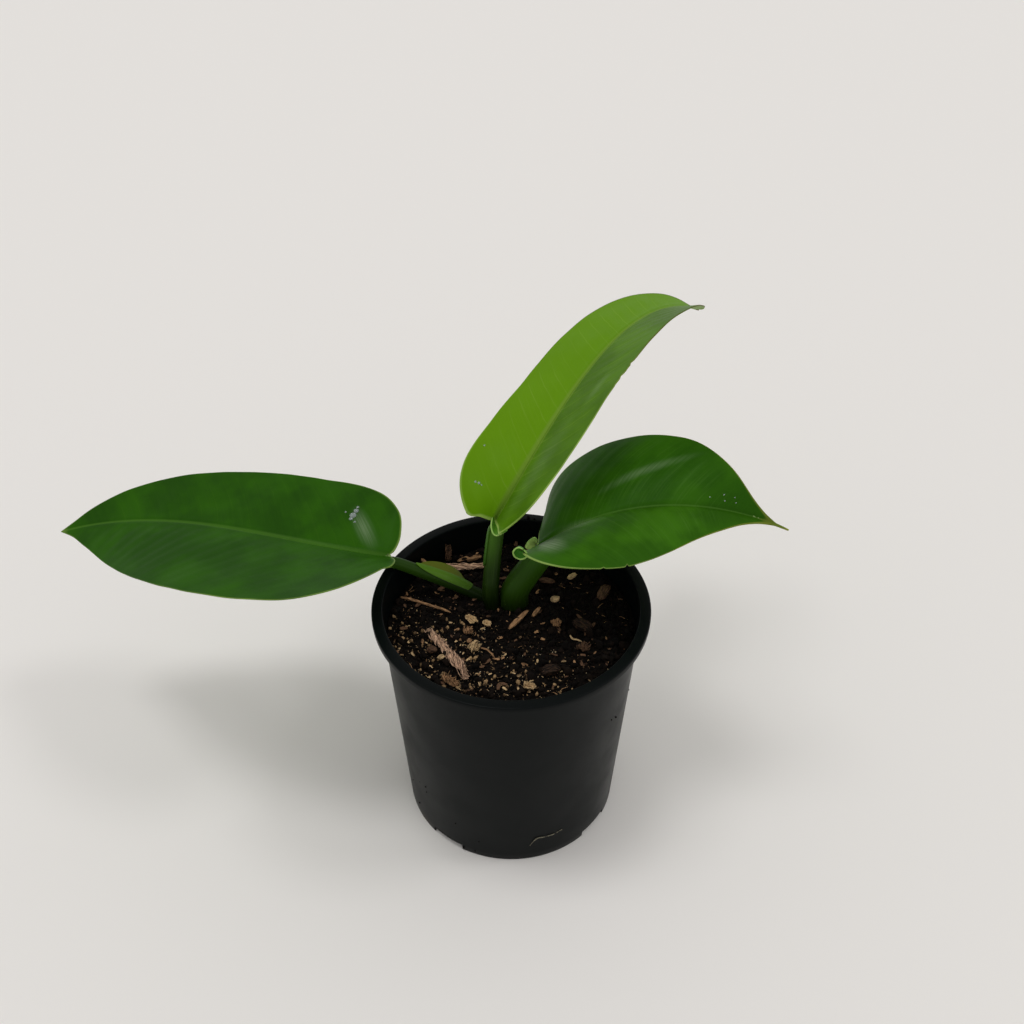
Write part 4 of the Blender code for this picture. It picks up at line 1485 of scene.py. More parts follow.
@dataclass
class Litter:
    """Every larger loose piece on the mix."""

    bed: PottingMix

    def build(self) -> None:
        """Lay twigs, strips, chips, husks and seeds."""
        twigs = (
            Twig("long_twig", ((-54, 17.5), (-28.5, 6.5)), 0.75, STRAW, "straw", 1.4, 1.0),
            Twig("back_stick", ((-44.5, 38.0), (-35.5, 34.0)), 1.0, STRAW, "straw", 0.0, 2.0,
                 rise=(8.0, 3.0)),
            Twig("curved_fibre", ((27.5, -7.5), (33, -12)), 0.5, HUSK, "husk", -1.2, 3.0),
            Twig("front_fibre", ((-16, -15), (-7.5, -22)), 0.5, STRAW, "straw", 0.8, 4.0),
        )
        for twig in twigs:
            twig.build(self.bed)
        strips = (
            FibreStrip("bark_strip", ((-39, -3.5), (-33.5, -12), (-28.5, -20), (-24, -27),
                                      (-20, -35)), 4.2, 110, FIBRE_BARK, "bark", curl=1.0),
            FibreStrip("peel_strip", ((-40, 36), (-32, 37.5), (-23, 39), (-13, 40)), 4.4, 60,
                       FIBRE_BARK, "straw", seed=7, curl=0.35, rise=(5.0, 0.5)),
            FibreStrip("wall_chip", ((-31.5, 46.0), (-31.5, 49.0)), 3.4, 18, BARK, "bark", seed=14,
                       curl=0.1, packed=False, rise=(0.0, 7.5), thickness=0.9),
            FibreStrip("husk_tangle", ((-18.5, -14), (-15.5, -17.5)), 5.0, 34, HUSK, "husk",
                       seed=8, curl=1.0, packed=False),
            FibreStrip("bark_tangle", ((-22.5, -3.5), (-18.5, -5.5)), 3.4, 26, STRAW, "straw",
                       seed=9, curl=0.9, packed=False),
            FibreStrip("right_tangle", ((20, 2), (22.5, -1.5)), 4.0, 26, STRAW, "straw", seed=10,
                       curl=0.8, packed=False),
            FibreStrip("front_tangle", ((-31, -33), (-24, -38)), 4.4, 26, STRAW, "straw",
                       seed=12, curl=0.7, packed=False),
            FibreStrip("root_tangle", ((31, -14), (36, -17)), 5.0, 30, BARK, "bark", seed=13,
                       curl=0.9, packed=False),
        )
        for strip in strips:
            strip.build(self.bed)
        split, cupped, lump = ChipKind.SPLIT, ChipKind.CUPPED, ChipKind.ROUND
        chips = (
            Chip("back_chip", split, (9, 3, 1.4), 4, BARK, "bark", 0.1),
            Chip("rear_left_chip", split, (11, 2.6, 1.6), 8, STRAW, "straw", lean=8),
            Chip("splinter_long", split, (13, 2.2, 1.1), 52, STRAW, "straw", 0.45, 3),
            Chip("splinter_short", split, (6.5, 1.7, 0.9), 60, STRAW, "straw", 0.3),
            Chip("right_chip", split, (7, 2.6, 1.4), -12, BARK, "bark", 0.2),
            Chip("bright_chip", split, (5, 2.4, 1.2), 40, HUSK, "husk", 0.5),
            Chip("side_chip", split, (9, 4.5, 2.2), 60, BARK, "bark", 0.2, 6),
            Chip("dark_chip_right", split, (9, 6, 2.4), -35, BARK, "bark", -0.35),
            Chip("dark_chip_front", split, (8, 5, 2.6), 20, BARK, "bark", -0.4),
            Chip("husk_left", cupped, (6.5, 4.0, 1.2), -50, HUSK, "husk", 0.4),
            Chip("husk_middle", cupped, (4.8, 3.2, 1.0), -35, HUSK, "husk", 0.5, seed=2.0),
            Chip("husk_front", cupped, (6.0, 3.6, 1.2), -20, HUSK, "husk", 0.2, seed=3.0),
            Chip("nut_shell", lump, (4.6, 3.8, 3.0), 10, BARK, "bark", 0.1),
            Chip("pale_seed", lump, (3.4, 2.4, 2.0), 30, HUSK, "husk", 0.4, seed=2.0),
            Chip("tan_seed", lump, (2.6, 2.2, 2.0), 70, STRAW, "straw", 0.3, seed=3.0),
            Chip("shell_grain", lump, (4.6, 3.6, 2.6), 20, HUSK, "husk", 0.3, seed=4.0),
        )
        for chip in chips:
            chip.build(self.bed)


# ---------------------------------------------------------------- the leaves

OUTLINE = ((0, 0), (-0.035, 0.10), (-0.05, 0.30), (-0.02, 0.58), (0.07, 0.83), (0.20, 0.975),
           (0.36, 1.0), (0.54, 0.91), (0.70, 0.70), (0.83, 0.42), (0.92, 0.17), (0.965, 0.05),
           (1, 0))
DRIP_TIP_WIDTH = 0.7
RIB_DEPTH = 1.3
GAP = 0.3


def blend3(values: tuple, s: Array) -> Array:
    """The parabola through three values, given at shares of 0, 0.5 and 1."""
    a, b, c = values
    return a * 2 * (s - 0.5) * (s - 1) - b * 4 * s * (s - 1) + c * 2 * s * (s - 0.5)


@dataclass(frozen=True)
class Nick:
    """A bite or tear in a margin: how far along, on which side, how deep and how long."""

    along: float
    right: bool
    depth: float
    width: float


@dataclass
class LeafForm:
    """One blade: a midrib that bends and rolls, with two halves folded up from it.

    Angles are in degrees. Halves are measured to the right and to the left of the way the leaf
    points.

    Args:
        base: where the midrib starts, in millimetres about the middle of the pot's lip.
        half_widths: the widest of each half, in millimetres.
        heading, pitch, roll: the midrib's way and turn at the base, the middle and the tip.
        base_folds, folds, tip_fold: how far the halves are folded up, from base to tip.
        droop: how far each half curls back towards its margin.
        lobe, swell, taper: how far the base reaches back, and how the outline runs to the tip.
        nicks: bites in the margins.
        tip: how wide the start of the drip tip is, as a share of the widest.
        stations: how many points the midrib and the outline have.
    """

    name: str
    base: tuple
    length: float
    half_widths: tuple
    heading: tuple
    pitch: tuple
    roll: tuple
    base_folds: tuple
    folds: tuple
    tip_fold: float
    droop: float
    lobe: float
    swell: float
    taper: float
    nicks: tuple = ()
    tip: float = 0.05
    stations: int = 160

    def __post_init__(self) -> None:
        """Work out the midrib and the outline."""
        s = np.linspace(0, 1, self.stations)
        h, e, r = (np.radians(blend3(v, s)) for v in (self.heading, self.pitch, self.roll))
        ahead = np.stack([np.cos(e) * np.cos(h), np.cos(e) * np.sin(h), np.sin(e)], 1)
        flat = np.stack([np.sin(h), -np.cos(h), 0 * h], 1)
        up = np.cross(flat, ahead)
        run = np.cumsum((ahead[1:] + ahead[:-1]) / 2 * self.length / (self.stations - 1), 0)
        self.ahead = ahead
        self.rib = np.vstack([np.zeros(3), run]) + np.array(self.base) + (0, 0, POT_HEIGHT)
        self.side = flat * np.cos(r)[:, None] + up * np.sin(r)[:, None]
        self.normal = up * np.cos(r)[:, None] - flat * np.sin(r)[:, None]
        pts = np.array(OUTLINE, float)
        pts[-2, 1] = self.tip
        x, y = pts[:, 0], pts[:, 1]
        x = np.where(x < 0, x * self.lobe, x + 0.15 * self.swell * np.sin(np.pi * x.clip(0, 1)))
        y = np.where(pts[:, 0] > 0.3, y ** self.taper, y)
        line = through(np.stack([x, y], 1), self.stations)
        line[:, 1] = line[:, 1].clip(0)
        line[0], line[-1] = (0, 0), (1, 0)
        self.outline = line

    def frame(self, x: Array) -> list[Array]:
        """Read the midrib at distances along it.

        Args:
            x: the distances, in millimetres.

        Returns:
            The rib's points, and the directions ahead, to the right side and up.
        """
        inside = np.clip(x, 0, self.length)
        pick = [along_table(inside / self.length, table)
                for table in (self.rib, self.ahead, self.side, self.normal)]
        pick[0] = pick[0] + pick[1] * (x - inside)[:, None]
        return pick

    def points(self, u: Array, v: Array) -> tuple[Array, Array, Array, Array]:
        """Points of the leaf's surface.

        Args:
            u: shares along the outline, from base to tip.
            v: shares across, from -1 at the left margin to 1 at the right one.

        Returns:
            The points, the distance along and across, and the distance to the margin.
        """
        right = v >= 0
        spots = np.linspace(0, 1, self.stations)
        edge_x, edge_y = (np.interp(u, spots, self.outline[:, k]) for k in range(2))
        start = self.length * u ** 1.25
        x = start + (edge_x * self.length - start) * np.abs(v)
        wide = edge_y * np.where(right, *self.half_widths)
        for nick in self.nicks:
            near = np.exp(-((edge_x * self.length - nick.along) / nick.width) ** 2)
            wide = wide - near * nick.depth * (right == nick.right)
        least = DRIP_TIP_WIDTH / 2 * np.interp(edge_x, (0.93, 1), (1, 0.3))
        wide = np.where((u > 0) & (u < 1), np.maximum(wide, least), wide)
        y = np.abs(v) * wide
        rib, _, side, normal = self.frame(x)
        s = np.clip(x / self.length, 0, 1)
        middle, base = np.where(right, *self.folds), np.where(right, *self.base_folds)
        fold = np.radians(middle + (base - middle) * np.exp(-s / 0.12)
                          + (self.tip_fold - middle) * s ** 3)
        bend = math.radians(self.droop) / (sum(self.half_widths) / 2)
        turn = fold - bend * y
        across = (np.sin(fold) - np.sin(turn)) / bend
        rise = (np.cos(turn) - np.cos(fold)) / bend
        across = np.where(right, across, -across)
        points = rib + side * across[:, None] + normal * rise[:, None]
        return points, x, np.where(right, y, -y), (1 - np.abs(v)) * wide


@dataclass
class Blade:
    """A leaf blade: a thin curved skin, deeper along its midrib.

    Args:
        thickness: of the skin away from the midrib, in millimetres.
        quilt: how far it swells between its side veins.
        ripple: how far it lies above and below its form, in lumps about lump across.
        groove: how deep the channel along the midrib is, and groove_width how wide.
        rib_half: how far from the middle the midrib's depth ends.
        vein_lean, vein_bend: how far the side veins reach towards the tip.
    """

    form: LeafForm
    top: LeafSkin
    back: LeafBack
    slot: str
    rows: int = 280
    columns: int = 64
    thickness: float = 0.5
    quilt: float = 0.10
    ripple: float = 0.5
    lump: float = 24.0
    groove: float = 0.35
    groove_width: float = 1.0
    rib_half: float = 3.5
    vein_lean: float = 0.55
    vein_bend: float = 0.006

    def relief(self, x: Array, y: Array, course: Array, rim: Array) -> Array:
        """How far the skin stands above its smooth form.

        Args:
            x: distances along the midrib.
            y: distances across it.
            course: distances across the side veins.
            rim: distances to the margin.

        Returns:
            The heights, in millimetres.
        """
        share = np.clip(1 - x / self.form.length, 0, 1)
        away = np.abs(y)
        channel = (-self.groove * np.exp(-(away / self.groove_width) ** 2)
                   + 0.5 * self.groove * np.exp(-((away - 2.4) / 1.1) ** 2)) * share ** 0.5
        quilted = self.quilt * np.cos(course * math.tau / self.top.vein_space)
        quilted = quilted * np.clip(away / 8, 0, 1) * np.clip(rim / 8, 0, 1)
        lumps = roughness_at(np.stack([x, y, 0 * x], 1), self.lump, 2, 1.7)
        return channel + quilted + self.ripple * lumps * np.clip(away / 12, 0, 1)

    def build(self) -> None:
        """Place the grid on the leaf's surface, add its relief, thicken it and dress it."""
        name = "blade_" + self.form.name
        piece, u, v = add_grid("leaf_" + self.form.name, self.rows, self.columns)
        across = 2 * v - 1
        across = np.sign(across) * np.abs(across) ** 1.3
        points, x, y, rim = self.form.points(u, across)
        away = np.abs(y)
        course = x - self.vein_lean * away - self.vein_bend * away ** 2
        write_points(piece, placed(points))
        up = read_normals(piece)
        if (up * self.form.frame(x)[3]).sum() < 0:
            up = -up
        points = points + up * self.relief(x, y, course, rim)[:, None]
        for end in (0, 1):
            points[u == end] = points[u == end].mean(axis=0)
        write_points(piece, placed(points))
        note(piece, "blade", np.stack([x, y, course], 1))
        note(piece, "rim", np.stack([rim, x / self.form.length, 0 * x], 1))
        least = self.thickness / RIB_DEPTH
        deep = least + (1 - least) * np.clip(1 - away / self.rib_half, 0, 1) * (1 - u) ** 0.7
        group = piece.vertex_groups.new(name="thickness")
        for index, share in enumerate(deep):
            group.add([index], float(share), "REPLACE")
        flip = (read_normals(piece) * self.form.frame(x)[3]).sum() < 0
        with editing(piece):
            if flip:
                bpy.ops.mesh.flip_normals()
            bpy.ops.mesh.remove_doubles(threshold=MERGE)
        dress(piece, self.top, self.back, self.top)
        apply(piece, "SOLIDIFY", thickness=RIB_DEPTH * MM, offset=-1, vertex_group="thickness",
              material_offset=1, material_offset_rim=2)
        smooth(piece, 75)
        hand_over(piece, self.slot, name)


@dataclass
class Drops:
    """Water drops that lie on a leaf.

    Args:
        places: for each drop, its shares along the outline and across, and its radius.
        flat: a drop's height as a share of its radius.
    """

    name: str
    form: LeafForm
    places: tuple
    flat: float = 0.5

    def build(self) -> None:
        """Flattened spheres, each half sunk in the leaf and turned as the leaf is."""
        drops, step = [], 1e-3
        for u, v, radius in self.places:
            near = [self.form.points(np.array([a]), np.array([b]))
                    for a, b in ((u, v), (u + step, v), (u, v + step))]
            spot, ahead, across = near[0][0][0], near[1][0][0], near[2][0][0]
            up = np.cross(ahead - spot, across - spot)
            up *= np.sign(up @ self.form.frame(near[0][1])[3][0]) / np.linalg.norm(up)
            ahead = (ahead - spot) / np.linalg.norm(ahead - spot)
            basis = np.array([ahead, np.cross(up, ahead), up * self.flat])
            deselect()
            bpy.ops.mesh.primitive_uv_sphere_add(segments=24, ring_count=16, radius=1)
            drops.append(named(self.name))
            write_points(drops[-1], placed(spot + read_points(drops[-1]) * radius @ basis))
        joined = join(drops)
        smooth(joined, 80)
        dress(joined, WATER)
        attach(joined, BODY)


# ---------------------------------------------------------------- the stalks

@dataclass
class Stalk:
    """A leaf stalk: rounded, thinner towards its leaf, with a shallow channel along its front.

    Args:
        foot: where its centre line meets the mix.
        direction: which way it leaves the crown.
        radius, tip_radius: its radius at the foot and under the leaf, in millimetres.
        fuller: how much fuller than those it is all along.
        sink: how far it runs on below the mix.
        channel, channel_width: the channel's depth as a share of the radius, and its width as a
            share of the way round.
    """

    leaf: LeafForm
    foot: tuple
    direction: tuple
    radius: float
    skin: StalkSkin
    tip_radius: float = 2.2
    fuller: float = 1.0
    sink: float = 7.0
    channel: float = 0.10
    channel_width: float = 0.09

    def path(self, level: float) -> Array:
        """The centre line, from inside the crown to under the base of the blade.

        Args:
            level: the height of the mix.

        Returns:
            Points along it.
        """
        direction = np.array(self.direction) / np.linalg.norm(self.direction)
        foot = np.array([*self.foot, level])
        rib, ahead, _, normal = (pick[0] for pick in self.leaf.frame(np.zeros(1)))
        seat = rib - normal * (RIB_DEPTH + GAP + self.tip_radius * 1.1)
        reach = np.linalg.norm(seat - foot) / 3
        return through([foot - direction * self.sink, foot, foot + direction * reach,
                        seat - ahead * reach * 0.4, seat, seat + ahead * 2.0], 60)

    def reach(self, u: Array) -> Array:
        """Radius along the stalk."""
        return (self.radius + (self.tip_radius - self.radius) * u) * self.fuller

    def build(self, level: float) -> None:
        """A tube with a shallow channel, closed at both ends.

        Args:
            level: the height of the mix.
        """
        def radius(u: Array, v: Array) -> Array:
            """The stalk's radius, less in the channel and at its round end."""
            front = (v - 0.75 + 0.5) % 1 - 0.5
            channel = 1 - self.channel * np.exp(-(front / self.channel_width) ** 2)
            round_end = np.sqrt(np.clip(1 - np.clip((u - 0.97) / 0.03, 0, 1) ** 2, 0.02, 1))
            return self.reach(u) * channel * round_end

        piece = tube("stalk_" + self.leaf.name, self.path(level), radius, 40, 110)
        smooth(piece, 70)
        dress(piece, self.skin)
        hand_over(piece, "petiole_green", "petiole_" + self.leaf.name)


@dataclass
class Sheath:
    """A thin sheath that wraps part of the way round a stalk and narrows to both ends.

    Args:
        stretch: shares of the stalk's path at its foot and at its point.
        turns: the angles about the stalk between which it starts, in degrees.
        tip_turn: the angle at which it ends.
        lifts: how far its two edges stand off the stalk, in millimetres.
        packed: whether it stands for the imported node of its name.
    """

    node: str
    stalk: Stalk
    stretch: tuple
    turns: tuple
    tip_turn: float
    lifts: tuple
    skin: StalkSkin
    packed: bool
    thickness: float = 0.5

    def build(self, level: float) -> None:
        """A curved grid about the stalk, thickened.

        Args:
            level: the height of the mix.
        """
        path = self.stalk.path(level)
        _, side, front = path_frames(path)
        piece, u, v = add_grid("wing_" + self.node, 60, 24)
        share = self.stretch[0] + (self.stretch[1] - self.stretch[0]) * u
        open_by = np.sqrt(np.clip(1 - u ** 4, 0, 1)) * np.clip(u / 0.07, 0, 1) ** 0.5
        edge = self.turns[0] + (self.turns[1] - self.turns[0]) * v
        turn = np.radians(self.tip_turn + (edge - self.tip_turn) * open_by)
        lift = (self.lifts[0] * (1 - v) ** 2 + self.lifts[1] * v ** 2) * np.sin(
            math.pi * u.clip(0, 1)) ** 0.7
        r = self.stalk.reach(share) + self.thickness / 2 + 0.15 + lift
        points = (along_table(share, path) + along_table(share, side) * (np.cos(turn) * r)[:, None]
                  + along_table(share, front) * (np.sin(turn) * r)[:, None])
        write_points(piece, placed(points))
        note(piece, "grain", np.stack([share * 60, turn * r, 0 * r], 1))
        with editing(piece):
            bpy.ops.mesh.remove_doubles(threshold=MERGE)
        apply(piece, "SOLIDIFY", thickness=self.thickness * MM, offset=0)
        face_out(piece)
        smooth(piece, 70)
        dress(piece, self.skin)
        hand_over(piece, "sheath", *([self.node] if self.packed else []))


@dataclass
class Flap:
    """A small curled piece of leaf or sheath between a free rim and a root, with a pale rim.

    Args:
        rim: points of the free edge, in millimetres about the pot's foot.
        root: points of the edge that joins the plant, one for each part of the rim.
        bulge: how far the middle is pushed out, as a vector.
        rim_radius: of the pale bead along the free edge.
    """

    name: str
    rim: tuple
    root: tuple
    skin: Finish
    bulge: tuple = (0.0, 0.0, 0.0)
    slot: str = "sheath"
    thickness: float = 0.5
    rim_radius: float = 0.4

    def build(self) -> None:
        """Stretch a grid from root to rim, thicken it and run a bead along the rim."""
        free, fixed = through(self.rim, 60), through(self.root, 60)
        piece, u, v = add_grid(self.name, 60, 14)
        points = along_table(u, free) * (1 - v)[:, None] + along_table(u, fixed) * v[:, None]
        points = points + np.array(self.bulge) * (4 * v * (1 - v))[:, None]
        write_points(piece, placed(points))
        note(piece, "grain", np.stack([u * 30, v * 8, 0 * u], 1))
        apply(piece, "SOLIDIFY", thickness=self.thickness * MM, offset=0)
        face_out(piece)
        dress(piece, self.skin)
        bead = tube(self.name + "_rim", free, lambda a, b: self.rim_radius * np.sqrt(
            np.clip(1 - np.abs(2 * a - 1) ** 12, 0.05, 1)), 10, 60)
        dress(bead, RIM_SKIN)
        join([piece, bead])
        smooth(piece, 70)
        hand_over(piece, self.slot)


RIM_SKIN = StalkSkin("pale_rim", "#6f9440", "#84aa50", "#94b860", shade_share=0.0)

LEFT_FORM = LeafForm(
    "left", (-58.9, 24.2, 7.1), 179.0, (41.7, 55.1), (176.5, 161.3, 181.4), (7.8, -6.4, -17.9),
    (-1.0, 1.7, 23.4), (25.7, 35.0), (10.2, 9.7), 1.6, 5.3, 0.50, -0.55, 0.78)
CENTRE_FORM = LeafForm(
    "centre", (-7.9, 27.3, 25.9), 185.0, (32.7, 31.5), (42.3, 53.6, 39.1), (49.4, 16.4, -33.2),
    (6.8, 23.1, -0.6), (32.9, 86.0), (12.4, 6.4), 13.1, 2.4, 0.0, 0.63, 0.70,
    nicks=(Nick(87.0, True, 1.4, 1.1), Nick(83.3, True, 0.8, 0.8), Nick(79.5, True, 1.3, 1.4),
           Nick(75.5, True, 0.7, 0.9)), tip=0.008)
RIGHT_FORM = LeafForm(
    "right", (11.6, 20.2, 15.9), 124.8, (39.8, 46.0), (9.4, -8.1, -54.8), (39.6, 10.7, 13.3),
    (2.7, -4.3, -45.0), (51.5, -13.9), (15.3, 31.0), 34.0, 36.4, -0.34, 0.10, 2.10,
    nicks=(Nick(32.0, True, 0.7, 0.7), Nick(44.6, True, 1.3, 0.6)))


@dataclass
class Plant:
    """Blades, stalks, sheaths, crown and roots."""

    level: float
    root_count: int = 5
    stalks: dict = field(default_factory=dict)

    def build_blades(self) -> None:
        """The three blades, each with its own greens."""
        Blade(LEFT_FORM,
              LeafSkin("leaf_top_left", "#204707", "#2a5806", "#2a5806", "#42691a", "#507a2a",
                       "#7f9a48", "#5f7a34", rib_width=2.3, groove_shade_share=0.1, streak_share=0.05,
                       painted_sheens=(PaintedSheen(15, 14, 17, 6, 55, 0.38),)),
              LeafBack("leaf_back_left", "#5a7a3c", "#8aa362"), "blade_left").build()
        Blade(CENTRE_FORM,
              LeafSkin("leaf_top_centre", "#42680b", "#507a0f", "#66940c", "#86a640", "#789638",
                       "#a4bf62", "#5c4a1c", rib_width=3.2, rib_share=0.6, groove_shade_share=0.45,
                       painted_half_share=0.75, base_margin=0.8, vein_share=0.34, streak_share=0.05,
                       painted_sheens=(PaintedSheen(30, 12, 34, 10, 4, 0.13), PaintedSheen(74, 20, 12, 4, 0, 0.16))),
              LeafBack("leaf_back_centre", "#7d9c4a", "#a5bd72"), "blade_centre").build()
        Blade(RIGHT_FORM,
              LeafSkin("leaf_top_right", "#2a540a", "#3a6b0f", "#204c07", "#5a8438", "#5a8236",
                       "#a9c46a", "#8c8f3c", rib_width=1.1, rib_share=0.35, painted_half_share=0.35,
                       streak_share=0.16, base_margin=0.9,
                       painted_sheens=(PaintedSheen(10, 14, 14, 8, 60, 0.55), PaintedSheen(24, 2, 16, 5, 10, 0.35),
                               PaintedSheen(56, -19, 28, 3.5, -18, 0.24))),
              LeafBack("leaf_back_right", "#5f8240", "#8fa967"), "blade_right").build()
        Drops("drops_left", LEFT_FORM, ((0.326, 0.60, 1.7), (0.336, 0.67, 1.3), (0.318, 0.55, 1.0),
                                        (0.345, 0.72, 0.7), (0.300, 0.54, 0.6),
                                        (0.352, 0.60, 0.6))).build()
        Drops("drops_centre", CENTRE_FORM, ((0.284, -0.78, 0.6), (0.276, -0.73, 0.7),
                                            (0.266, -0.69, 0.4), (0.359, -0.84, 0.5),
                                            (0.475, 0.68, 0.4), (0.480, 0.76, 0.3))).build()
        Drops("drops_right", RIGHT_FORM, ((0.733, -0.64, 0.45), (0.733, -0.40, 0.4),
                                          (0.715, -0.52, 0.4), (0.750, -0.55, 0.35),
                                          (0.700, -0.30, 0.3))).build()

    def build_stalks(self) -> None:
        """The three stalks and their two sheaths."""
        self.stalks = {
            "left": Stalk(LEFT_FORM, (-12.6, 19.0), (-0.84, 0.10, 0.40), 3.0,
                          StalkSkin("stalk_left", "#101c06", "#2a480e", "#386618"), 2.2, 1.15),
            "centre": Stalk(CENTRE_FORM, (-9.4, 13.2), (-0.02, 0.10, 1.0), 4.4,
                            StalkSkin("stalk_centre", "#0c1504", "#1b2f06", "#3c6018"), 3.3),
            "right": Stalk(RIGHT_FORM, (0.9, 14.6), (0.12, 0.05, 1.0), 6.0,
                           StalkSkin("stalk_right", "#0f1a04", "#243f09", "#33600f",
                                     shade_share=0.6), 3.6, 1.26),
        }
        for stalk in self.stalks.values():
            stalk.build(self.level)
        fresh = StalkSkin("sheath_green", "#2a4210", "#4c701c", "#5c8426", shade_share=0.0)
        olive = StalkSkin("sheath_olive", "#3a441a", "#5a641e", "#6a7426", shade_share=0.0)
        wing = StalkSkin("sheath_edge", "#122206", "#24440c", "#3f681c", shade_share=0.0)
        broad = StalkSkin("sheath_right", "#0f1a04", "#264309", "#356412", shade_share=0.0)
        left, centre, right = (self.stalks[k] for k in ("left", "centre", "right"))
        Sheath("sheath_left", left, (0.315, 0.545), (230, 152), 162, (0.1, 0.9), fresh,
               True).build(self.level)
        Sheath("sheath_left_far", left, (0.36, 0.53), (160, 122), 150, (0.6, 4.6), olive,
               False).build(self.level)
        Sheath("sheath_right", right, (0.23, 0.86), (322, 75), 190, (0.0, 0.4), broad,
               True).build(self.level)
        Sheath("sheath_centre_edge", centre, (0.47, 0.66), (12, -34), -6, (0.0, 0.0), wing,
               False).build(self.level)

    def build_bases(self) -> None:
        """The centre leaf's spout, the right leaf's rolled lobe and the bract behind it."""
        spout = StalkSkin("spout_green", "#24480d", "#2d5a10", "#4a7c1c", shade_share=0.0)
        lobe = StalkSkin("lobe_green", "#2f661a", "#3a7420", "#3a7420", shade_share=0.0)
        bract = StalkSkin("bract_pale", "#6f8c40", "#86a552", "#94b25e", shade_share=0.0)
        Flap("centre_spout",
             ((-8.8, 26.0, 157.0), (-9.3, 22.0, 155.1), (-8.5, 19.0, 153.5), (-6.8, 16.5, 154.0),
              (-4.6, 14.0, 157.2), (-3.0, 11.8, 160.4), (-1.9, 8.6, 164.2)),
             ((-8.0, 26.8, 154.6), (-7.6, 25.4, 154.2), (-7.2, 23.4, 155.1), (-6.5, 19.9, 156.7),
              (-6.0, 15.2, 158.2), (-4.6, 10.4, 161.0), (-2.2, 8.2, 164.2)),
             spout, (0.2, 0.6, -0.5)).build()
        Flap("right_roll",
             ((5.5, 2.4, 158.0), (3.1, 3.0, 158.6), (1.0, 3.0, 156.3), (1.5, 3.0, 153.3),
              (4.1, 2.6, 151.9), (6.5, 2.2, 153.2), (7.2, 2.0, 155.6), (5.6, 2.3, 157.9)),
             ((4.9, 4.8, 156.2), (4.4, 5.0, 156.4), (3.9, 5.0, 155.9), (4.0, 5.0, 155.2),
              (4.6, 4.9, 154.8), (5.2, 4.8, 155.1), (5.4, 4.7, 155.6), (4.9, 4.8, 156.1)),
             lobe, (0, 0.9, 0)).build()
        Flap("right_bract",
             ((6.6, 16.5, 147.0), (8.1, 17.0, 150.0), (10.7, 17.5, 151.8), (12.2, 18.0, 149.6)),
             ((9.6, 18.5, 144.0), (10.6, 18.6, 145.4), (11.6, 18.8, 146.6), (12.8, 19.0, 147.0)),
             bract, (-0.8, -0.8, 0.4)).build()

    def dress_crown(self) -> None:
        """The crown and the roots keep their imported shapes."""
        dress(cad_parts["stem"], CORK)
        for i in range(self.root_count):
            dress(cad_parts["root_{}".format(i + 1)], ROOT_SKIN)

    def build(self) -> None:
        """Everything that grows."""
        self.build_blades()
        self.build_stalks()
        self.build_bases()
        self.dress_crown()


# ---------------------------------------------------------------- the studio

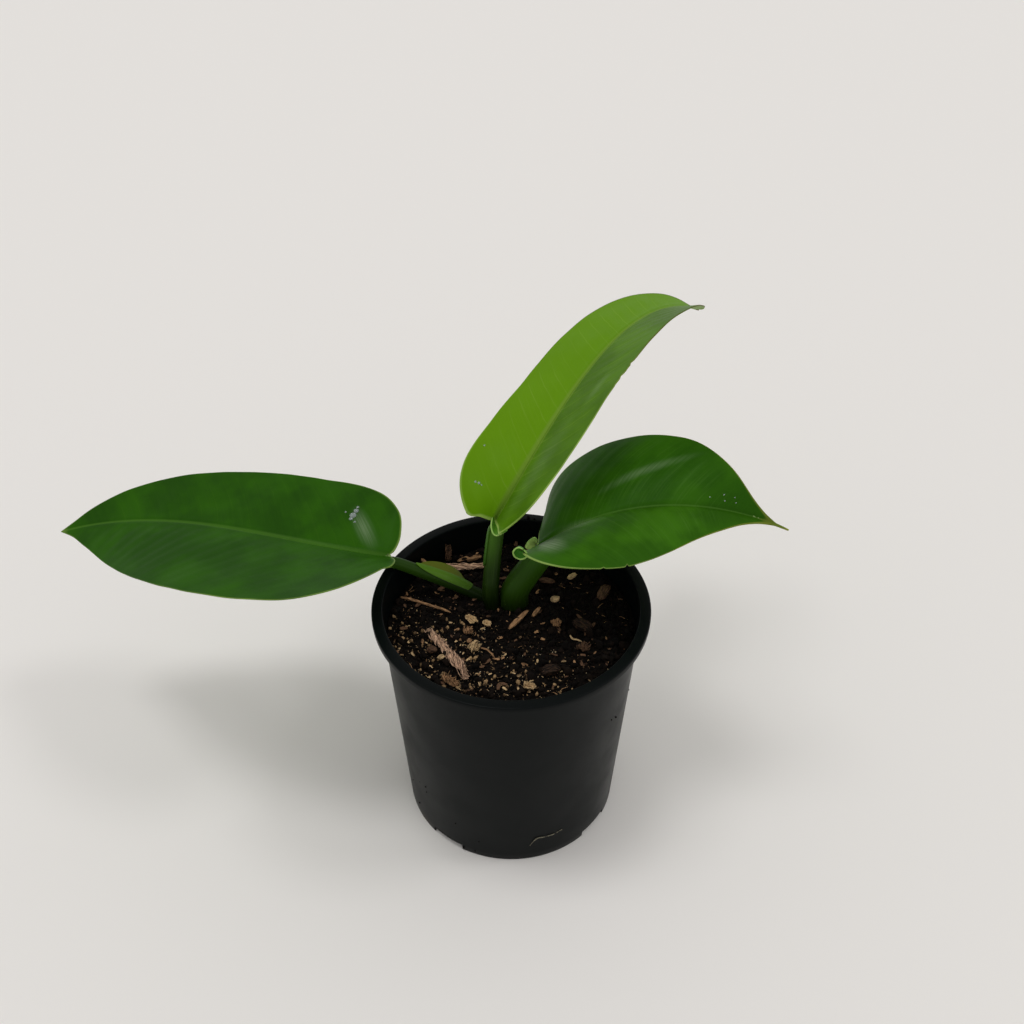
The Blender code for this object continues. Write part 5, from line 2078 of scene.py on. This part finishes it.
@dataclass
class Studio:
    """A pale floor, soft suns overhead, an even surround and the camera.

    Args:
        camera_place: in millimetres about the pot's foot.
        camera_tilt: up from straight down, in degrees.
        surround_high, surround_low: the surround's strength overhead and at the horizon.
        sun_width: how wide each sun looks, in degrees. Wider is softer.
        suns: for each one, its name, its sideways lean per unit of height and its strength.
    """

    camera_place: tuple = (0.35, -411.4, 526.4)
    camera_tilt: float = 50.07
    lens: float = 43.18
    floor_size: float = 12.0
    surround_high: float = 0.42
    surround_low: float = 1.02
    surround_colour: str = "#fbfaf8"
    sun_width: float = 14.0
    suns: tuple = (("sun_over", -0.15, 0.42), ("sun_left", -0.40, 0.22),
                   ("sun_right", 0.62, 0.34))

    def sun(self, name: str, lean: float, strength: float) -> None:
        """Add one soft sun.

        Args:
            name: its name.
            lean: how far it stands to the right, per unit of height.
            strength: how strong it is.
        """
        data = bpy.data.lights.new(name, "SUN")
        data.angle = math.radians(self.sun_width)
        data.energy = strength
        thing = bpy.data.objects.new(name, data)
        thing.rotation_euler = Vector((lean, 0, 1)).to_track_quat("Z", "Y").to_euler()
        bpy.context.scene.collection.objects.link(thing)

    def surround(self) -> None:
        """Even light from all round, stronger from low down than from overhead."""
        world = bpy.data.worlds.new("surround")
        world.use_nodes = True
        tree = world.node_tree
        back = tree.nodes["Background"]
        up = add(tree, "SeparateXYZ", {0: add(tree, "TexCoord").outputs["Generated"]})
        strength = add(tree, "MapRange", {"Value": up.outputs["Z"], "From Min": 0.0,
                                          "From Max": 1.0, "To Min": self.surround_low,
                                          "To Max": self.surround_high})
        back.inputs["Color"].default_value = paint(self.surround_colour)
        tree.links.new(strength.outputs[0], back.inputs["Strength"])
        bpy.context.scene.world = world

    def build(self) -> None:
        """Floor, surround, suns and camera."""
        deselect()
        bpy.ops.mesh.primitive_plane_add(size=self.floor_size, location=tuple(placed([0, 0, 0])))
        floor = named("floor")
        dress(floor, StudioFloor())
        self.surround()
        for sun in self.suns:
            self.sun(*sun)
        data = bpy.data.cameras.new("camera")
        data.lens = self.lens
        data.clip_start = 0.01
        camera = bpy.data.objects.new("camera", data)
        camera.location = placed(self.camera_place)
        camera.rotation_euler = (math.radians(self.camera_tilt), 0, 0)
        bpy.context.scene.collection.objects.link(camera)
        bpy.context.scene.camera = camera
        bpy.context.scene.view_settings.view_transform = "Standard"


def main() -> None:
    """Build the studio, the pot, the mix and the plant."""
    logging.basicConfig(level=logging.INFO, format="%(name)s %(message)s")
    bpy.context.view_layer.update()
    Studio().build()
    pot = NurseryPot()
    pot.build()
    PotMarks(pot).build()
    bed = PottingMix(pot)
    bed.build_bed()
    bed.build_loose()
    Litter(bed).build()
    Plant(bed.level()).build()


if __name__ == "__main__":
    main()
